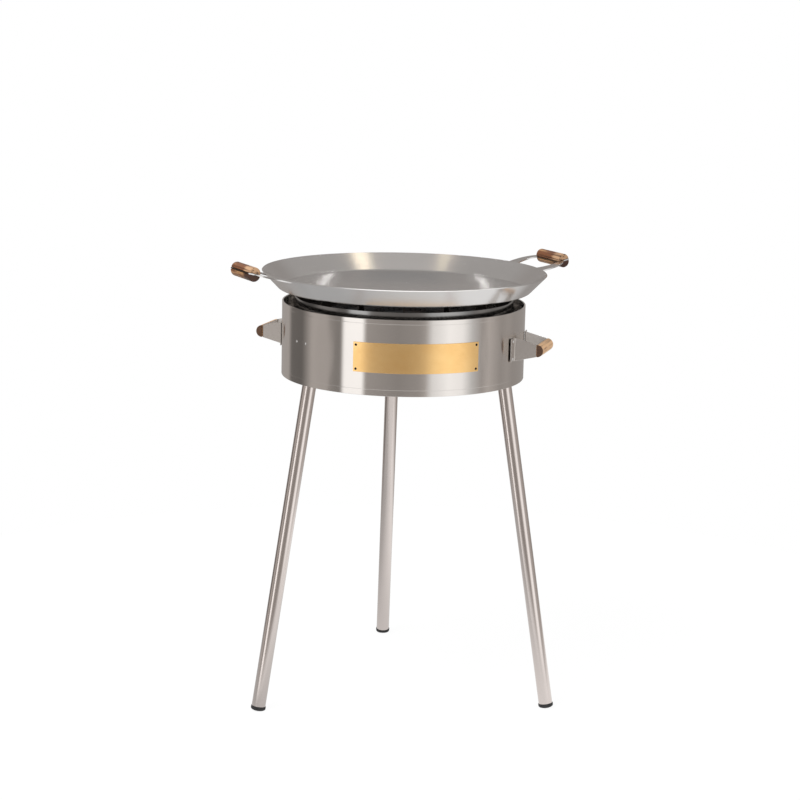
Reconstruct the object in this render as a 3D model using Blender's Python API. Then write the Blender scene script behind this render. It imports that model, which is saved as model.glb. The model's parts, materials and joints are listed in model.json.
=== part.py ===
"""Round steel cooking pan on a three-legged ring-burner stand, in metres, +Z up.

The stand turns about one upright axis: a sheet housing hangs on three brackets, each bracket holds
a splayed leg socket, and three arms on the brackets carry the burner rings and the finned ring that
the pan rests on. The gas valves sit behind the housing. Front is -Y.
"""
import math

import bmesh
import bpy
from mathutils import Vector

# Clearances between neighbouring pieces
FIT = 0.0003
LEG_FIT = 0.00035

# Pan: a flat floor, a rounded corner and a straight sloping wall
PAN_RIM_R = 0.290
PAN_DEPTH = 0.036
PAN_SHEET = 0.0025
PAN_WALL_ANGLE = math.radians(46.0)
PAN_CORNER_R = 0.012
PAN_TURN = math.radians(21.5)
PAN_SIDES = 96

# Pan handles: a flat steel loop between two half-round wooden grips
LOOP_PLATE = 0.003
LOOP_REACH = 0.059
LOOP_RISE = math.radians(13.0)
LOOP_FOOT_OUTER = math.radians(14.2)
LOOP_FOOT_INNER = math.radians(7.9)
LOOP_NECK = 0.002
LOOP_SHOULDER = 0.036
LOOP_WAIST = 0.010

# Half-round wooden grip, the same piece on the pan and on the stand
GRIP_R = 0.0124
GRIP_LENGTH = 0.092
GRIP_EDGE = 0.0012

# Housing: a rolled sheet band with folded hems
HOUSING_R = 0.248
HOUSING_BASE_Z = 0.661
HOUSING_HEIGHT = 0.150
HOUSING_SHEET = 0.0015
HEM_SHEET = 0.0016
HEM_TOP = 0.009
HEM_BASE = 0.012
HOUSING_SIDES = 96

# Curved brass plate on the front
PLATE_TURN = math.radians(-88.6)
PLATE_ARC = math.radians(59.0)
PLATE_HEIGHT = 0.0585
PLATE_SHEET = 0.0012
PLATE_DROP = 0.0003

# Stand handles: a bent strip with spread flanges and a tapering depth
HANDLE_TURN = math.radians(-22.3)
HANDLE_WIDTH = 0.089
HANDLE_REACH = 0.0438
HANDLE_SHEET = 0.002
HANDLE_ROOT_H = 0.047
HANDLE_FLANGE = 0.020
HANDLE_FLANGE_LIFT = math.radians(6.5)
HANDLE_BEND = 0.003

# Ring under the pan and the fins that hold the pan clear of it
RING_R = HOUSING_R - 0.0243
RING_SHEET = 0.003
RING_RISE = 0.011
RING_SIDES = 96
FIN_COUNT = 15
FIN_TURN = math.radians(-95.3)
FIN_SHEET = 0.003
FIN_RISE = 0.0147
FIN_ROOT = 0.0264
FIN_TIP = 0.014
FIN_DEPTH = 0.026

# Burner arms and the two burner rings that lie on them
ARM_DROP = 0.0427
ARM_W = 0.024
ARM_SHEET = 0.005
ARM_TIP = 0.004
BURNER_OUTER_R = RING_R - 0.0737
BURNER_INNER_R = BURNER_OUTER_R / 2
BURNER_W = 0.026
BURNER_H = 0.020
BURNER_CROWN_W = 0.014
BURNER_SHOULDER = 0.007

# Leg brackets, sockets, legs and feet
LEG_TURNS = {"back": math.radians(90.0), "left": math.radians(210.0), "right": math.radians(330.0)}
LEG_SPLAY = math.radians(9.8)
LEG_R = 0.014
LEG_WALL = 0.0015
SOCKET_WALL = 0.0025
SOCKET_CAP = 0.004
SOCKET_DROP = 0.004
SOCKET_SIDE_GAP = 0.0035
SOCKET_TOP_GAP = 0.002
BRACKET_SHEET = 0.003
BRACKET_HEIGHT = 0.040
BRACKET_DEPTH = 0.045
FOOT_R = 0.015
FOOT_COLLAR = 0.008
FOOT_PLUG = 0.022
FOOT_DOME = 0.0055
FOOT_SINK = 0.002
LEG_SIDES = 28

# Gas line behind the housing: mixing tubes, valves, manifold pipe and hose tail
GAS_TURN = math.radians(45.0)
MIXER_R = 0.010
MIXER_WALL = 0.0015
MIXER_SPREAD = 0.044
MIXER_DROP = 0.0168
MIXER_OUT = 0.020
STUB_R = 0.007
VALVE_R = 0.011
VALVE_LENGTH = 0.040
VALVE_STANDOFF = 0.004
VALVE_NECK_R = 0.006
SPUD_R = 0.005
SPUD_LENGTH = 0.014
STEM_R = 0.003
STEM_SUNK = 0.008
KNOB_R = 0.018
KNOB_DEPTH = 0.020
KNOB_GAP = 0.003
KNOB_BAR_W = 0.008
KNOB_BAR_H = 0.006
MANIFOLD_R = 0.010
MANIFOLD_LENGTH = 0.120
MANIFOLD_DROP = 0.024
TAIL_R = 0.005
TAIL_BORE_R = 0.003
TAIL_RIB = 0.0012
TAIL_RIBS = 3
TAIL_PITCH = 0.008
NUT_R = 0.0115
NUT_LENGTH = 0.010
SHELF_SHEET = 0.003
SHELF_WIDTH = 0.050
SHELF_FLANGE = 0.036
PIPE_SIDES = 20

# Heights that follow from the sizes above
HOUSING_TOP_Z = HOUSING_BASE_Z + HOUSING_HEIGHT
HOUSING_MID_Z = HOUSING_BASE_Z + HOUSING_HEIGHT / 2
ARM_TOP_Z = HOUSING_TOP_Z - ARM_DROP
ARM_BASE_Z = ARM_TOP_Z - ARM_SHEET
BRACKET_TOP_Z = ARM_BASE_Z - FIT
RING_TOP_Z = HOUSING_TOP_Z + RING_RISE
PAN_BASE_Z = RING_TOP_Z + FIN_RISE + FIT
PAN_RIM_Z = PAN_BASE_Z + PAN_DEPTH
GAS_Z = ARM_TOP_Z - MIXER_DROP

# Leg axis: its radius at the housing's lower edge and at the floor
SOCKET_R = LEG_R + LEG_FIT + SOCKET_WALL
LEG_EDGE_R = HOUSING_R - HOUSING_SHEET - SOCKET_SIDE_GAP - SOCKET_R / math.cos(LEG_SPLAY)
LEG_FLOOR_R = LEG_EDGE_R + HOUSING_BASE_Z * math.tan(LEG_SPLAY)
FOOT_REACH = LEG_FLOOR_R + FOOT_R * math.cos(LEG_SPLAY) - (FOOT_DOME - FOOT_SINK) * math.sin(LEG_SPLAY)

# The back foot reaches further than the rim does in front, so the axis sits forward of the origin
AXIS_Y = (PAN_RIM_R - FOOT_REACH) / 2

STEEL = ((0.62, 0.61, 0.60), 0.30, 1.0)
DARK_STEEL = ((0.20, 0.20, 0.20), 0.45, 1.0)
CAST_IRON = ((0.06, 0.06, 0.06), 0.70, 0.6)
BRASS = ((0.80, 0.58, 0.25), 0.25, 1.0)
WOOD = ((0.30, 0.13, 0.05), 0.40, 0.0)
BLACK = ((0.02, 0.02, 0.02), 0.55, 0.0)


def material(name, finish):
    """Principled material with one colour, roughness and metallic value."""
    colour, roughness, metallic = finish
    mat = bpy.data.materials.new(name)
    mat.use_nodes = True
    shader = mat.node_tree.nodes["Principled BSDF"]
    shader.inputs["Base Color"].default_value = (*colour, 1.0)
    shader.inputs["Roughness"].default_value = roughness
    shader.inputs["Metallic"].default_value = metallic
    return mat


def add_object(name, bm, finish, parent, location=(0, 0, 0), rotation=(0, 0, 0)):
    """Close the mesh, shade it and hang it on its parent."""
    bmesh.ops.remove_doubles(bm, verts=bm.verts, dist=1e-6)
    bmesh.ops.recalc_face_normals(bm, faces=bm.faces)
    mesh = bpy.data.meshes.new(name)
    bm.to_mesh(mesh)
    bm.free()
    mesh.shade_smooth()
    mesh.set_sharp_from_angle(angle=math.radians(30.0))
    mesh.materials.append(material(name, finish))
    obj = bpy.data.objects.new(name, mesh)
    bpy.context.scene.collection.objects.link(obj)
    obj.parent = parent
    obj.location = location
    obj.rotation_euler = rotation
    return obj


def add_empty(name, parent=None, location=(0, 0, 0), rotation=(0, 0, 0)):
    """Empty that carries a sub-assembly or marks a joint's axis."""
    empty = bpy.data.objects.new(name, None)
    bpy.context.scene.collection.objects.link(empty)
    empty.parent = parent
    empty.location = location
    empty.rotation_euler = rotation
    return empty


def lathe(profile, sides):
    """Turn a profile of (radius, height) points about Z. It closes on itself or on the axis."""
    bm = bmesh.new()
    verts = [bm.verts.new((r, 0, z)) for r, z in profile]
    edges = [bm.edges.new(pair) for pair in zip(verts, verts[1:])]
    if profile[0][0] > 0:
        edges.append(bm.edges.new((verts[-1], verts[0])))
    bmesh.ops.spin(bm, geom=verts + edges, cent=(0, 0, 0), axis=(0, 0, 1), dvec=(0, 0, 0),
                   angle=math.tau, steps=sides, use_merge=True, use_duplicate=False)
    bmesh.ops.remove_doubles(bm, verts=bm.verts, dist=1e-6)
    return bm


def lay_along_x(bm):
    """Turn a shape made about Z so that its axis runs along +X."""
    turn = Vector((0, 0, 1)).rotation_difference(Vector((1, 0, 0))).to_matrix()
    bmesh.ops.rotate(bm, verts=bm.verts, cent=(0, 0, 0), matrix=turn)
    return bm


def lay_along_y(bm):
    """Turn a shape made about Z so that its axis runs along +Y."""
    turn = Vector((0, 0, 1)).rotation_difference(Vector((0, 1, 0))).to_matrix()
    bmesh.ops.rotate(bm, verts=bm.verts, cent=(0, 0, 0), matrix=turn)
    return bm


def prism(outline, low, high):
    """Extrude an outline of (x, y) points along Z."""
    bm = bmesh.new()
    face = bm.faces.new([bm.verts.new((x, y, low)) for x, y in outline])
    swept = bmesh.ops.extrude_face_region(bm, geom=[face])
    top = [item for item in swept["geom"] if isinstance(item, bmesh.types.BMVert)]
    bmesh.ops.translate(bm, verts=top, vec=(0, 0, high - low))
    return bm


def cut_below(bm, point, normal):
    """Cut away everything on the far side of a plane and close the cut."""
    geom = bm.verts[:] + bm.edges[:] + bm.faces[:]
    bmesh.ops.bisect_plane(bm, geom=geom, plane_co=point, plane_no=normal, clear_inner=True)
    bmesh.ops.holes_fill(bm, edges=[edge for edge in bm.edges if edge.is_boundary])


def use_helper(obj, helper, operation):
    """Join or cut an object with a helper shape that is not a piece itself."""
    helper.hide_render = True
    helper.display_type = "WIRE"
    boolean = obj.modifiers.new(helper.name, "BOOLEAN")
    boolean.operation = operation
    boolean.object = helper


def arc(centre, radius, start, end, steps):
    """Points of a circular arc, both ends included."""
    turns = [start + (end - start) * i / steps for i in range(steps + 1)]
    return [(centre[0] + radius * math.cos(a), centre[1] + radius * math.sin(a)) for a in turns]


def bow(start, control, end, steps):
    """Points of a curve that leaves start and reaches end along lines through control."""
    points = []
    for i in range(steps + 1):
        t = i / steps
        a, b, c = (1 - t) ** 2, 2 * t * (1 - t), t * t
        points.append((a * start[0] + b * control[0] + c * end[0],
                       a * start[1] + b * control[1] + c * end[1]))
    return points


def rounded_path(corners, radius, steps):
    """Centreline through the corners with each inner corner rounded."""
    path = [Vector(corners[0])]
    for before, here, after in zip(corners, corners[1:], corners[2:]):
        here = Vector(here)
        back = (Vector(before) - here).normalized()
        ahead = (Vector(after) - here).normalized()
        half = back.angle(ahead) / 2
        centre = here + (back + ahead).normalized() * (radius / math.sin(half))
        first = here + back * (radius / math.tan(half)) - centre
        turn = math.copysign(math.pi - 2 * half, -back.cross(ahead))
        for i in range(steps + 1):
            a = turn * i / steps
            path.append(centre + Vector((first.x * math.cos(a) - first.y * math.sin(a),
                                         first.x * math.sin(a) + first.y * math.cos(a))))
    path.append(Vector(corners[-1]))
    return path


def strip_outline(path, sheet):
    """Closed outline of a strip of sheet that follows a centreline."""
    left, right = [], []
    for i, point in enumerate(path):
        along = (path[min(i + 1, len(path) - 1)] - path[max(i - 1, 0)]).normalized()
        side = Vector((-along.y, along.x)) * (sheet / 2)
        left.append(tuple(point + side))
        right.append(tuple(point - side))
    return left + right[::-1]


def half_round():
    """Half-round grip along Y, flat side down on Z = 0, with eased ends."""
    profile = arc((0, 0), GRIP_R, 0, math.pi, 14)
    bm = prism(profile, -GRIP_LENGTH / 2, GRIP_LENGTH / 2)
    rims = [edge for edge in bm.edges
            if abs(edge.verts[0].co.z - edge.verts[1].co.z) < 1e-9 and edge.calc_length() < GRIP_R]
    bmesh.ops.bevel(bm, geom=rims, offset=GRIP_EDGE, segments=2, profile=0.5, affect="EDGES")
    turn = Vector((0, 1, 0)).rotation_difference(Vector((0, 0, 1))).to_matrix()
    bmesh.ops.rotate(bm, verts=bm.verts, cent=(0, 0, 0), matrix=turn)
    return bm


def pan_profile():
    """Closed section of the pan's sheet, from the axis out to the rim and back inside."""
    slope = PAN_WALL_ANGLE
    knee = PAN_RIM_R - PAN_DEPTH / math.tan(slope) - PAN_CORNER_R * math.tan(slope / 2)
    centre = (knee, PAN_CORNER_R)
    outside = arc(centre, PAN_CORNER_R, -math.pi / 2, slope - math.pi / 2, 5)
    inside = arc(centre, PAN_CORNER_R - PAN_SHEET, slope - math.pi / 2, -math.pi / 2, 5)
    rim = (PAN_RIM_R, PAN_DEPTH)
    lip = (PAN_RIM_R - PAN_SHEET * math.sin(slope), PAN_DEPTH + PAN_SHEET * math.cos(slope))
    return [(0, 0)] + outside + [rim, lip] + inside + [(0, PAN_SHEET)]


def loop_outline():
    """Plan of the pan handle's plate: a bar under the grips and two shouldered arms down to the rim."""
    rim = PAN_RIM_R + 2 * FIT
    bar = PAN_RIM_R + LOOP_REACH
    bar_in, bar_out = bar - GRIP_R, bar + GRIP_R
    end = GRIP_LENGTH / 2
    neck = end - LOOP_NECK
    foot_out = (rim * math.cos(LOOP_FOOT_OUTER), rim * math.sin(LOOP_FOOT_OUTER))
    foot_in = (rim * math.cos(LOOP_FOOT_INNER), rim * math.sin(LOOP_FOOT_INNER))
    outer = bow((bar, end), (bar_in - GRIP_R * 2 / 3, end + LOOP_SHOULDER), foot_out, 9)
    inner = bow(foot_in, ((rim + bar_in) / 2, end + LOOP_WAIST), (bar_in, neck), 7)
    along_rim = arc((0, 0), rim, LOOP_FOOT_OUTER, LOOP_FOOT_INNER, 4)
    half = [(bar_out, end)] + outer + along_rim[1:-1] + inner
    return half + [(x, -y) for x, y in reversed(half)]


def make_pan(axis):
    """Pan bowl with its two handles, carried on one empty that lifts straight up."""
    pan = add_empty("pan_axis", axis, (0, 0, PAN_BASE_Z), (0, 0, PAN_TURN))
    add_object("pan_bowl", lathe(pan_profile(), PAN_SIDES), STEEL, pan)
    hinge_r = PAN_RIM_R + 2 * FIT
    grip_x = (PAN_RIM_R + LOOP_REACH - hinge_r) / math.cos(LOOP_RISE)
    plan = [((x - hinge_r) / math.cos(LOOP_RISE), y) for x, y in loop_outline()]
    for side, turn in (("right", 0.0), ("left", math.pi)):
        arm = add_empty(f"pan_handle_{side}_seat", pan, (0, 0, PAN_DEPTH), (0, 0, turn))
        seat = add_empty(f"pan_handle_{side}_slope", arm, (hinge_r, 0, 0), (0, -LOOP_RISE, 0))
        add_object(f"pan_handle_{side}", prism(plan, -LOOP_PLATE / 2, LOOP_PLATE / 2), STEEL, seat)
        lift = LOOP_PLATE / 2 + FIT
        add_object(f"pan_grip_{side}_upper", half_round(), WOOD, seat, (grip_x, 0, lift))
        add_object(f"pan_grip_{side}_lower", half_round(), WOOD, seat, (grip_x, 0, -lift),
                   (0, math.pi, 0))


def make_housing(axis):
    """Sheet band with hems at both edges and two holes for the mixing tubes."""
    inner = HOUSING_R - HOUSING_SHEET
    hem = inner - HEM_SHEET
    top_step = HOUSING_TOP_Z - HEM_TOP
    base_step = HOUSING_BASE_Z + HEM_BASE
    section = [(HOUSING_R, HOUSING_BASE_Z), (HOUSING_R, HOUSING_TOP_Z), (hem, HOUSING_TOP_Z),
               (hem, top_step), (inner, top_step - HEM_SHEET), (inner, base_step + HEM_SHEET),
               (hem, base_step), (hem, HOUSING_BASE_Z)]
    band = add_object("housing_band", lathe(section, HOUSING_SIDES), STEEL, axis)
    wall = HOUSING_R - HOUSING_SHEET / 2
    bore = MIXER_R + FIT
    for side in (-1, 1):
        y = side * MIXER_SPREAD / 2
        half = 4 * HOUSING_SHEET
        punch = lay_along_x(lathe([(0, -half), (bore, -half), (bore, half), (0, half)], PIPE_SIDES))
        bmesh.ops.translate(punch, verts=punch.verts, vec=(math.sqrt(wall ** 2 - y ** 2), y, GAS_Z))
        cutter = add_object(f"mixer_hole_{side}", punch, STEEL, axis, (0, 0, 0), (0, 0, GAS_TURN))
        use_helper(band, cutter, "DIFFERENCE")


def make_brass_plate(axis):
    """Bare curved plate that lies on the front of the housing."""
    low = HOUSING_MID_Z - PLATE_DROP - PLATE_HEIGHT / 2
    r_in = HOUSING_R + FIT
    r_out = r_in + PLATE_SHEET
    half = PLATE_ARC / 2
    outline = arc((0, 0), r_out, -half, half, 18) + arc((0, 0), r_in, half, -half, 18)
    add_object("brass_plate", prism(outline, low, low + PLATE_HEIGHT), BRASS, axis, (0, 0, 0),
               (0, 0, PLATE_TURN))


def make_stand_handle(axis, side, turn):
    """Bent strip with two spread flanges on the housing and a half-round grip on its web."""
    seat = add_empty(f"stand_handle_{side}_axis", axis, (0, 0, HOUSING_MID_Z), (0, 0, turn))
    cheek = HANDLE_WIDTH / 2 - HANDLE_SHEET / 2
    web_x = HOUSING_R + HANDLE_REACH - HANDLE_SHEET / 2
    fold_r = HOUSING_R + FIT + HANDLE_SHEET / 2
    fold_x = math.sqrt(fold_r ** 2 - cheek ** 2)
    lean = math.atan2(cheek + HANDLE_FLANGE / 2, fold_x) - HANDLE_FLANGE_LIFT
    tip = (fold_x - HANDLE_FLANGE * math.sin(lean), cheek + HANDLE_FLANGE * math.cos(lean))
    half = [tip, (fold_x, cheek), (web_x, cheek)]
    corners = half + [(x, -y) for x, y in reversed(half)]
    outline = strip_outline(rounded_path(corners, HANDLE_BEND, 4), HANDLE_SHEET)
    bm = prism(outline, -HANDLE_ROOT_H / 2, HANDLE_ROOT_H / 2)
    taper = Vector((GRIP_R - HANDLE_ROOT_H / 2, 0, web_x - fold_x)).normalized()
    cut_below(bm, (web_x, 0, -GRIP_R), taper)
    cut_below(bm, (web_x, 0, GRIP_R), (taper.x, 0, -taper.z))
    add_object(f"stand_handle_{side}", bm, STEEL, seat)
    flat = HOUSING_R + HANDLE_REACH + FIT
    add_object(f"stand_grip_{side}", half_round(), WOOD, seat, (flat, 0, 0), (0, math.pi / 2, 0))


def make_pan_support(axis):
    """Ring inside the housing with upright fins for the pan."""
    inner = RING_R - RING_SHEET
    base = ARM_TOP_Z + FIT
    section = [(RING_R, base), (RING_R, RING_TOP_Z), (inner, RING_TOP_Z), (inner, base)]
    add_object("support_ring", lathe(section, RING_SIDES), DARK_STEEL, axis)
    back = inner * math.cos(math.pi / RING_SIDES) - FIT
    front = back - FIN_ROOT
    shy = (FIN_ROOT - FIN_TIP) / 2
    low = RING_TOP_Z - FIN_DEPTH
    high = RING_TOP_Z + FIN_RISE
    blade = [(back, low), (back, RING_TOP_Z), (back - shy, high), (front + shy, high),
             (front, RING_TOP_Z), (front, low)]
    for i in range(FIN_COUNT):
        bm = prism(blade, -FIN_SHEET / 2, FIN_SHEET / 2)
        tilt = Vector((0, 0, 1)).rotation_difference(Vector((0, -1, 0))).to_matrix()
        bmesh.ops.rotate(bm, verts=bm.verts, cent=(0, 0, 0), matrix=tilt)
        turn = FIN_TURN + math.tau * i / FIN_COUNT
        add_object(f"pan_fin_{i + 1:02d}", bm, DARK_STEEL, axis, (0, 0, 0), (0, 0, turn))


def make_burner(axis):
    """Two burner rings with sloped shoulders, lying on three flat arms."""
    for side, turn in LEG_TURNS.items():
        half = ARM_W / 2
        inner = BURNER_INNER_R - BURNER_W / 2 - ARM_TIP
        outer = bracket_back_x() - FIT
        outline = [(inner, -half), (outer, -half), (outer, half), (inner, half)]
        add_object(f"burner_arm_{side}", prism(outline, ARM_BASE_Z, ARM_TOP_Z), DARK_STEEL, axis,
                   (0, 0, 0), (0, 0, turn))
    base = ARM_TOP_Z + FIT
    for name, radius, sides in (("outer", BURNER_OUTER_R, 64), ("inner", BURNER_INNER_R, 48)):
        wide, crown = BURNER_W / 2, BURNER_CROWN_W / 2
        shoulder = base + BURNER_H - BURNER_SHOULDER
        top = base + BURNER_H
        section = [(radius + wide, base), (radius + wide, shoulder), (radius + crown, top),
                   (radius - crown, top), (radius - wide, shoulder), (radius - wide, base)]
        add_object(f"burner_ring_{name}", lathe(section, sides), CAST_IRON, axis)


def bracket_half_width():
    """Half the width of a leg bracket over its cheeks."""
    return SOCKET_R + FIT + BRACKET_SHEET


def bracket_back_x():
    """Distance from the stand's axis to the outer face of a leg bracket's back plate."""
    inner = (HOUSING_R - HOUSING_SHEET) * math.cos(math.pi / HOUSING_SIDES)
    return math.sqrt(inner ** 2 - bracket_half_width() ** 2) - FIT


def make_leg(axis, side, turn):
    """Bracket and socket in the housing, and the leg that plugs into the socket."""
    wide = bracket_half_width()
    slot = wide - BRACKET_SHEET
    back = bracket_back_x()
    web = back - BRACKET_SHEET
    front = back - BRACKET_DEPTH
    channel = [(back, -wide), (back, wide), (front, wide), (front, slot), (web, slot),
               (web, -slot), (front, -slot), (front, -wide)]
    add_object(f"leg_bracket_{side}", prism(channel, BRACKET_TOP_Z - BRACKET_HEIGHT, BRACKET_TOP_Z),
               STEEL, axis, (0, 0, 0), (0, 0, turn))

    floor = (LEG_FLOOR_R * math.cos(turn), LEG_FLOOR_R * math.sin(turn), 0)
    leg = add_empty(f"leg_{side}_axis", axis, floor, (0, -LEG_SPLAY, turn))
    rise = math.cos(LEG_SPLAY)
    mouth = (HOUSING_BASE_Z - SOCKET_DROP) / rise
    top = (BRACKET_TOP_Z - SOCKET_TOP_GAP - SOCKET_R * math.sin(LEG_SPLAY)) / rise
    bore = LEG_R + LEG_FIT
    socket = [(0, top), (0, top - SOCKET_CAP), (bore, top - SOCKET_CAP), (bore, mouth),
              (SOCKET_R, mouth), (SOCKET_R, top)]
    socket = socket[1:] + socket[:1]
    add_object(f"leg_socket_{side}", lathe(socket, LEG_SIDES), STEEL, leg)

    low, high = FOOT_COLLAR + FIT, top - SOCKET_CAP - FIT
    inner = LEG_R - LEG_WALL
    tube = [(LEG_R, low), (LEG_R, high), (inner, high), (inner, low)]
    add_object(f"leg_tube_{side}", lathe(tube, LEG_SIDES), STEEL, leg)

    plug = inner - FIT
    dome = [(FOOT_R * math.sin(a), FOOT_DOME * (1 - math.cos(a)) - FOOT_SINK)
            for a in (math.pi / 2 * i / 4 for i in range(5))]
    foot = dome + [(FOOT_R, FOOT_COLLAR), (plug, FOOT_COLLAR), (plug, FOOT_COLLAR + FOOT_PLUG),
                   (0, FOOT_COLLAR + FOOT_PLUG)]
    bm = lathe(foot, LEG_SIDES)
    cut_below(bm, (0, 0, 0), (math.sin(LEG_SPLAY), 0, math.cos(LEG_SPLAY)))
    add_object(f"foot_{side}", bm, BLACK, leg)


def make_gas_line(axis):
    """Mixing tubes, valves with knobs, manifold pipe, hose tail and the shelf that carries them."""
    line = add_empty("gas_axis", axis, (0, 0, GAS_Z), (0, 0, GAS_TURN))
    mouth_x = HOUSING_R + MIXER_OUT
    valve_x = mouth_x + VALVE_STANDOFF
    pipe_x = valve_x + VALVE_LENGTH / 2
    face_x = valve_x + VALVE_LENGTH
    stub_top = ARM_TOP_Z - GAS_Z
    for name, side, ring_r in (("outer", 1, BURNER_OUTER_R), ("inner", -1, BURNER_INNER_R)):
        y = side * MIXER_SPREAD / 2
        run = add_empty(f"{name}_valve_axis", line, (0, y, 0))
        make_mixer(run, name, math.sqrt(ring_r ** 2 - y ** 2), mouth_x, stub_top)
        make_valve(run, name, valve_x, face_x, pipe_x)
        make_knob(run, name, face_x)

    end = MANIFOLD_LENGTH / 2
    pipe = lay_along_y(lathe([(0, -end), (MANIFOLD_R, -end), (MANIFOLD_R, end), (0, end)], PIPE_SIDES))
    add_object("gas_manifold", pipe, BRASS, line, (pipe_x, 0, -MANIFOLD_DROP))
    tail = lay_along_y(lathe(hose_tail_profile(), PIPE_SIDES))
    add_object("gas_inlet", tail, BRASS, line, (pipe_x, end + FIT, -MANIFOLD_DROP))

    top = -MANIFOLD_DROP - MANIFOLD_R - FIT
    near = HOUSING_R + FIT
    far = pipe_x + MANIFOLD_R
    angle = [(near, top - SHELF_FLANGE), (near + SHELF_SHEET, top - SHELF_FLANGE),
             (near + SHELF_SHEET, top - SHELF_SHEET), (far, top - SHELF_SHEET), (far, top), (near, top)]
    bm = prism(angle, -SHELF_WIDTH / 2, SHELF_WIDTH / 2)
    upright = Vector((0, 1, 0)).rotation_difference(Vector((0, 0, 1))).to_matrix()
    bmesh.ops.rotate(bm, verts=bm.verts, cent=(0, 0, 0), matrix=upright)
    add_object("manifold_shelf", bm, STEEL, line)


def make_mixer(run, name, ring_x, mouth_x, stub_top):
    """Tube from the valve to the underside of a burner ring, with a closed end and a stub."""
    start = ring_x - MIXER_R
    bore = MIXER_R - MIXER_WALL
    section = [(0, start), (MIXER_R, start), (MIXER_R, mouth_x), (bore, mouth_x),
               (bore, start + MIXER_WALL), (0, start + MIXER_WALL)]
    tube = add_object(f"mixer_tube_{name}", lay_along_x(lathe(section, PIPE_SIDES)), DARK_STEEL, run)
    root = MIXER_R - MIXER_WALL / 2
    stub = lathe([(0, root), (STUB_R, root), (STUB_R, stub_top), (0, stub_top)], PIPE_SIDES)
    helper = add_object(f"mixer_stub_{name}", stub, DARK_STEEL, run, (ring_x, 0, 0))
    use_helper(tube, helper, "UNION")


def make_valve(run, name, valve_x, face_x, pipe_x):
    """Valve body with a spud that points into the mixing tube and a neck down to the manifold."""
    hole = STEM_R + FIT
    section = [(0, valve_x - SPUD_LENGTH), (SPUD_R, valve_x - SPUD_LENGTH), (SPUD_R, valve_x),
               (VALVE_R, valve_x), (VALVE_R, face_x), (hole, face_x), (hole, face_x - STEM_SUNK),
               (0, face_x - STEM_SUNK)]
    body = add_object(f"valve_body_{name}", lay_along_x(lathe(section, PIPE_SIDES)), BRASS, run)
    foot = MANIFOLD_R + FIT - MANIFOLD_DROP
    root = -VALVE_R / 2
    neck = lathe([(0, foot), (VALVE_NECK_R, foot), (VALVE_NECK_R, root), (0, root)], PIPE_SIDES)
    helper = add_object(f"valve_neck_{name}", neck, BRASS, run, (pipe_x, 0, 0))
    use_helper(body, helper, "UNION")


def make_knob(run, name, face_x):
    """Valve stem and the knob on it, both on the stem's axis."""
    knob_x = face_x + KNOB_GAP
    sunk = KNOB_DEPTH * 0.6
    low, high = face_x - STEM_SUNK + FIT, knob_x + sunk - FIT
    stem = lay_along_x(lathe([(0, low), (STEM_R, low), (STEM_R, high), (0, high)], PIPE_SIDES))
    add_object(f"valve_stem_{name}", stem, STEEL, run)
    hole = STEM_R + FIT
    skirt, crown = KNOB_R, KNOB_R * 0.86
    tip = knob_x + KNOB_DEPTH
    section = [(0, knob_x + sunk), (hole, knob_x + sunk), (hole, knob_x), (skirt, knob_x),
               (skirt, knob_x + KNOB_DEPTH * 0.3), (crown, knob_x + KNOB_DEPTH * 0.45),
               (crown, tip - KNOB_DEPTH * 0.1), (crown - KNOB_DEPTH * 0.1, tip), (0, tip)]
    knob = add_object(f"knob_{name}", lay_along_x(lathe(section, PIPE_SIDES)), BLACK, run)
    half_w, half_l = KNOB_BAR_W / 2, crown - KNOB_DEPTH * 0.15
    bar = [(-half_l, -half_w), (half_l, -half_w), (half_l, half_w), (-half_l, half_w)]
    bm = lay_along_x(prism(bar, tip - KNOB_DEPTH * 0.2, tip + KNOB_BAR_H))
    helper = add_object(f"knob_bar_{name}", bm, BLACK, run)
    use_helper(knob, helper, "UNION")


def hose_tail_profile():
    """Nut and ribbed tail with a blind bore that opens at the tail's end."""
    profile = [(0, 0), (NUT_R, 0), (NUT_R, NUT_LENGTH), (TAIL_R, NUT_LENGTH)]
    z = NUT_LENGTH
    for _ in range(TAIL_RIBS):
        z += TAIL_PITCH
        profile += [(TAIL_R + TAIL_RIB, z - TAIL_PITCH * 0.7), (TAIL_R, z)]
    return profile + [(TAIL_BORE_R, z), (TAIL_BORE_R, NUT_LENGTH), (0, NUT_LENGTH)]


def main():
    """Clear the scene and build every piece on the stand's axis."""
    for obj in list(bpy.data.objects):
        bpy.data.objects.remove(obj, do_unlink=True)
    axis = add_empty("stand_axis", None, (0, AXIS_Y, 0))
    make_pan(axis)
    make_housing(axis)
    make_brass_plate(axis)
    make_stand_handle(axis, "right", HANDLE_TURN)
    make_stand_handle(axis, "left", HANDLE_TURN + math.pi)
    make_pan_support(axis)
    make_burner(axis)
    for side, turn in LEG_TURNS.items():
        make_leg(axis, side, turn)
    make_gas_line(axis)


if __name__ == "__main__":
    main()
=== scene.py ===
"""Looks for the paella pan and burner stand.

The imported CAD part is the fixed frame. Each operator builds one piece, or a group of like pieces, over
the CAD nodes that it stands for, and the last one sets the studio. Metres, +Z up, front towards -Y.
"""
import collections
import json
import math

import bmesh
import bpy
from mathutils import Matrix, Vector


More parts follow.
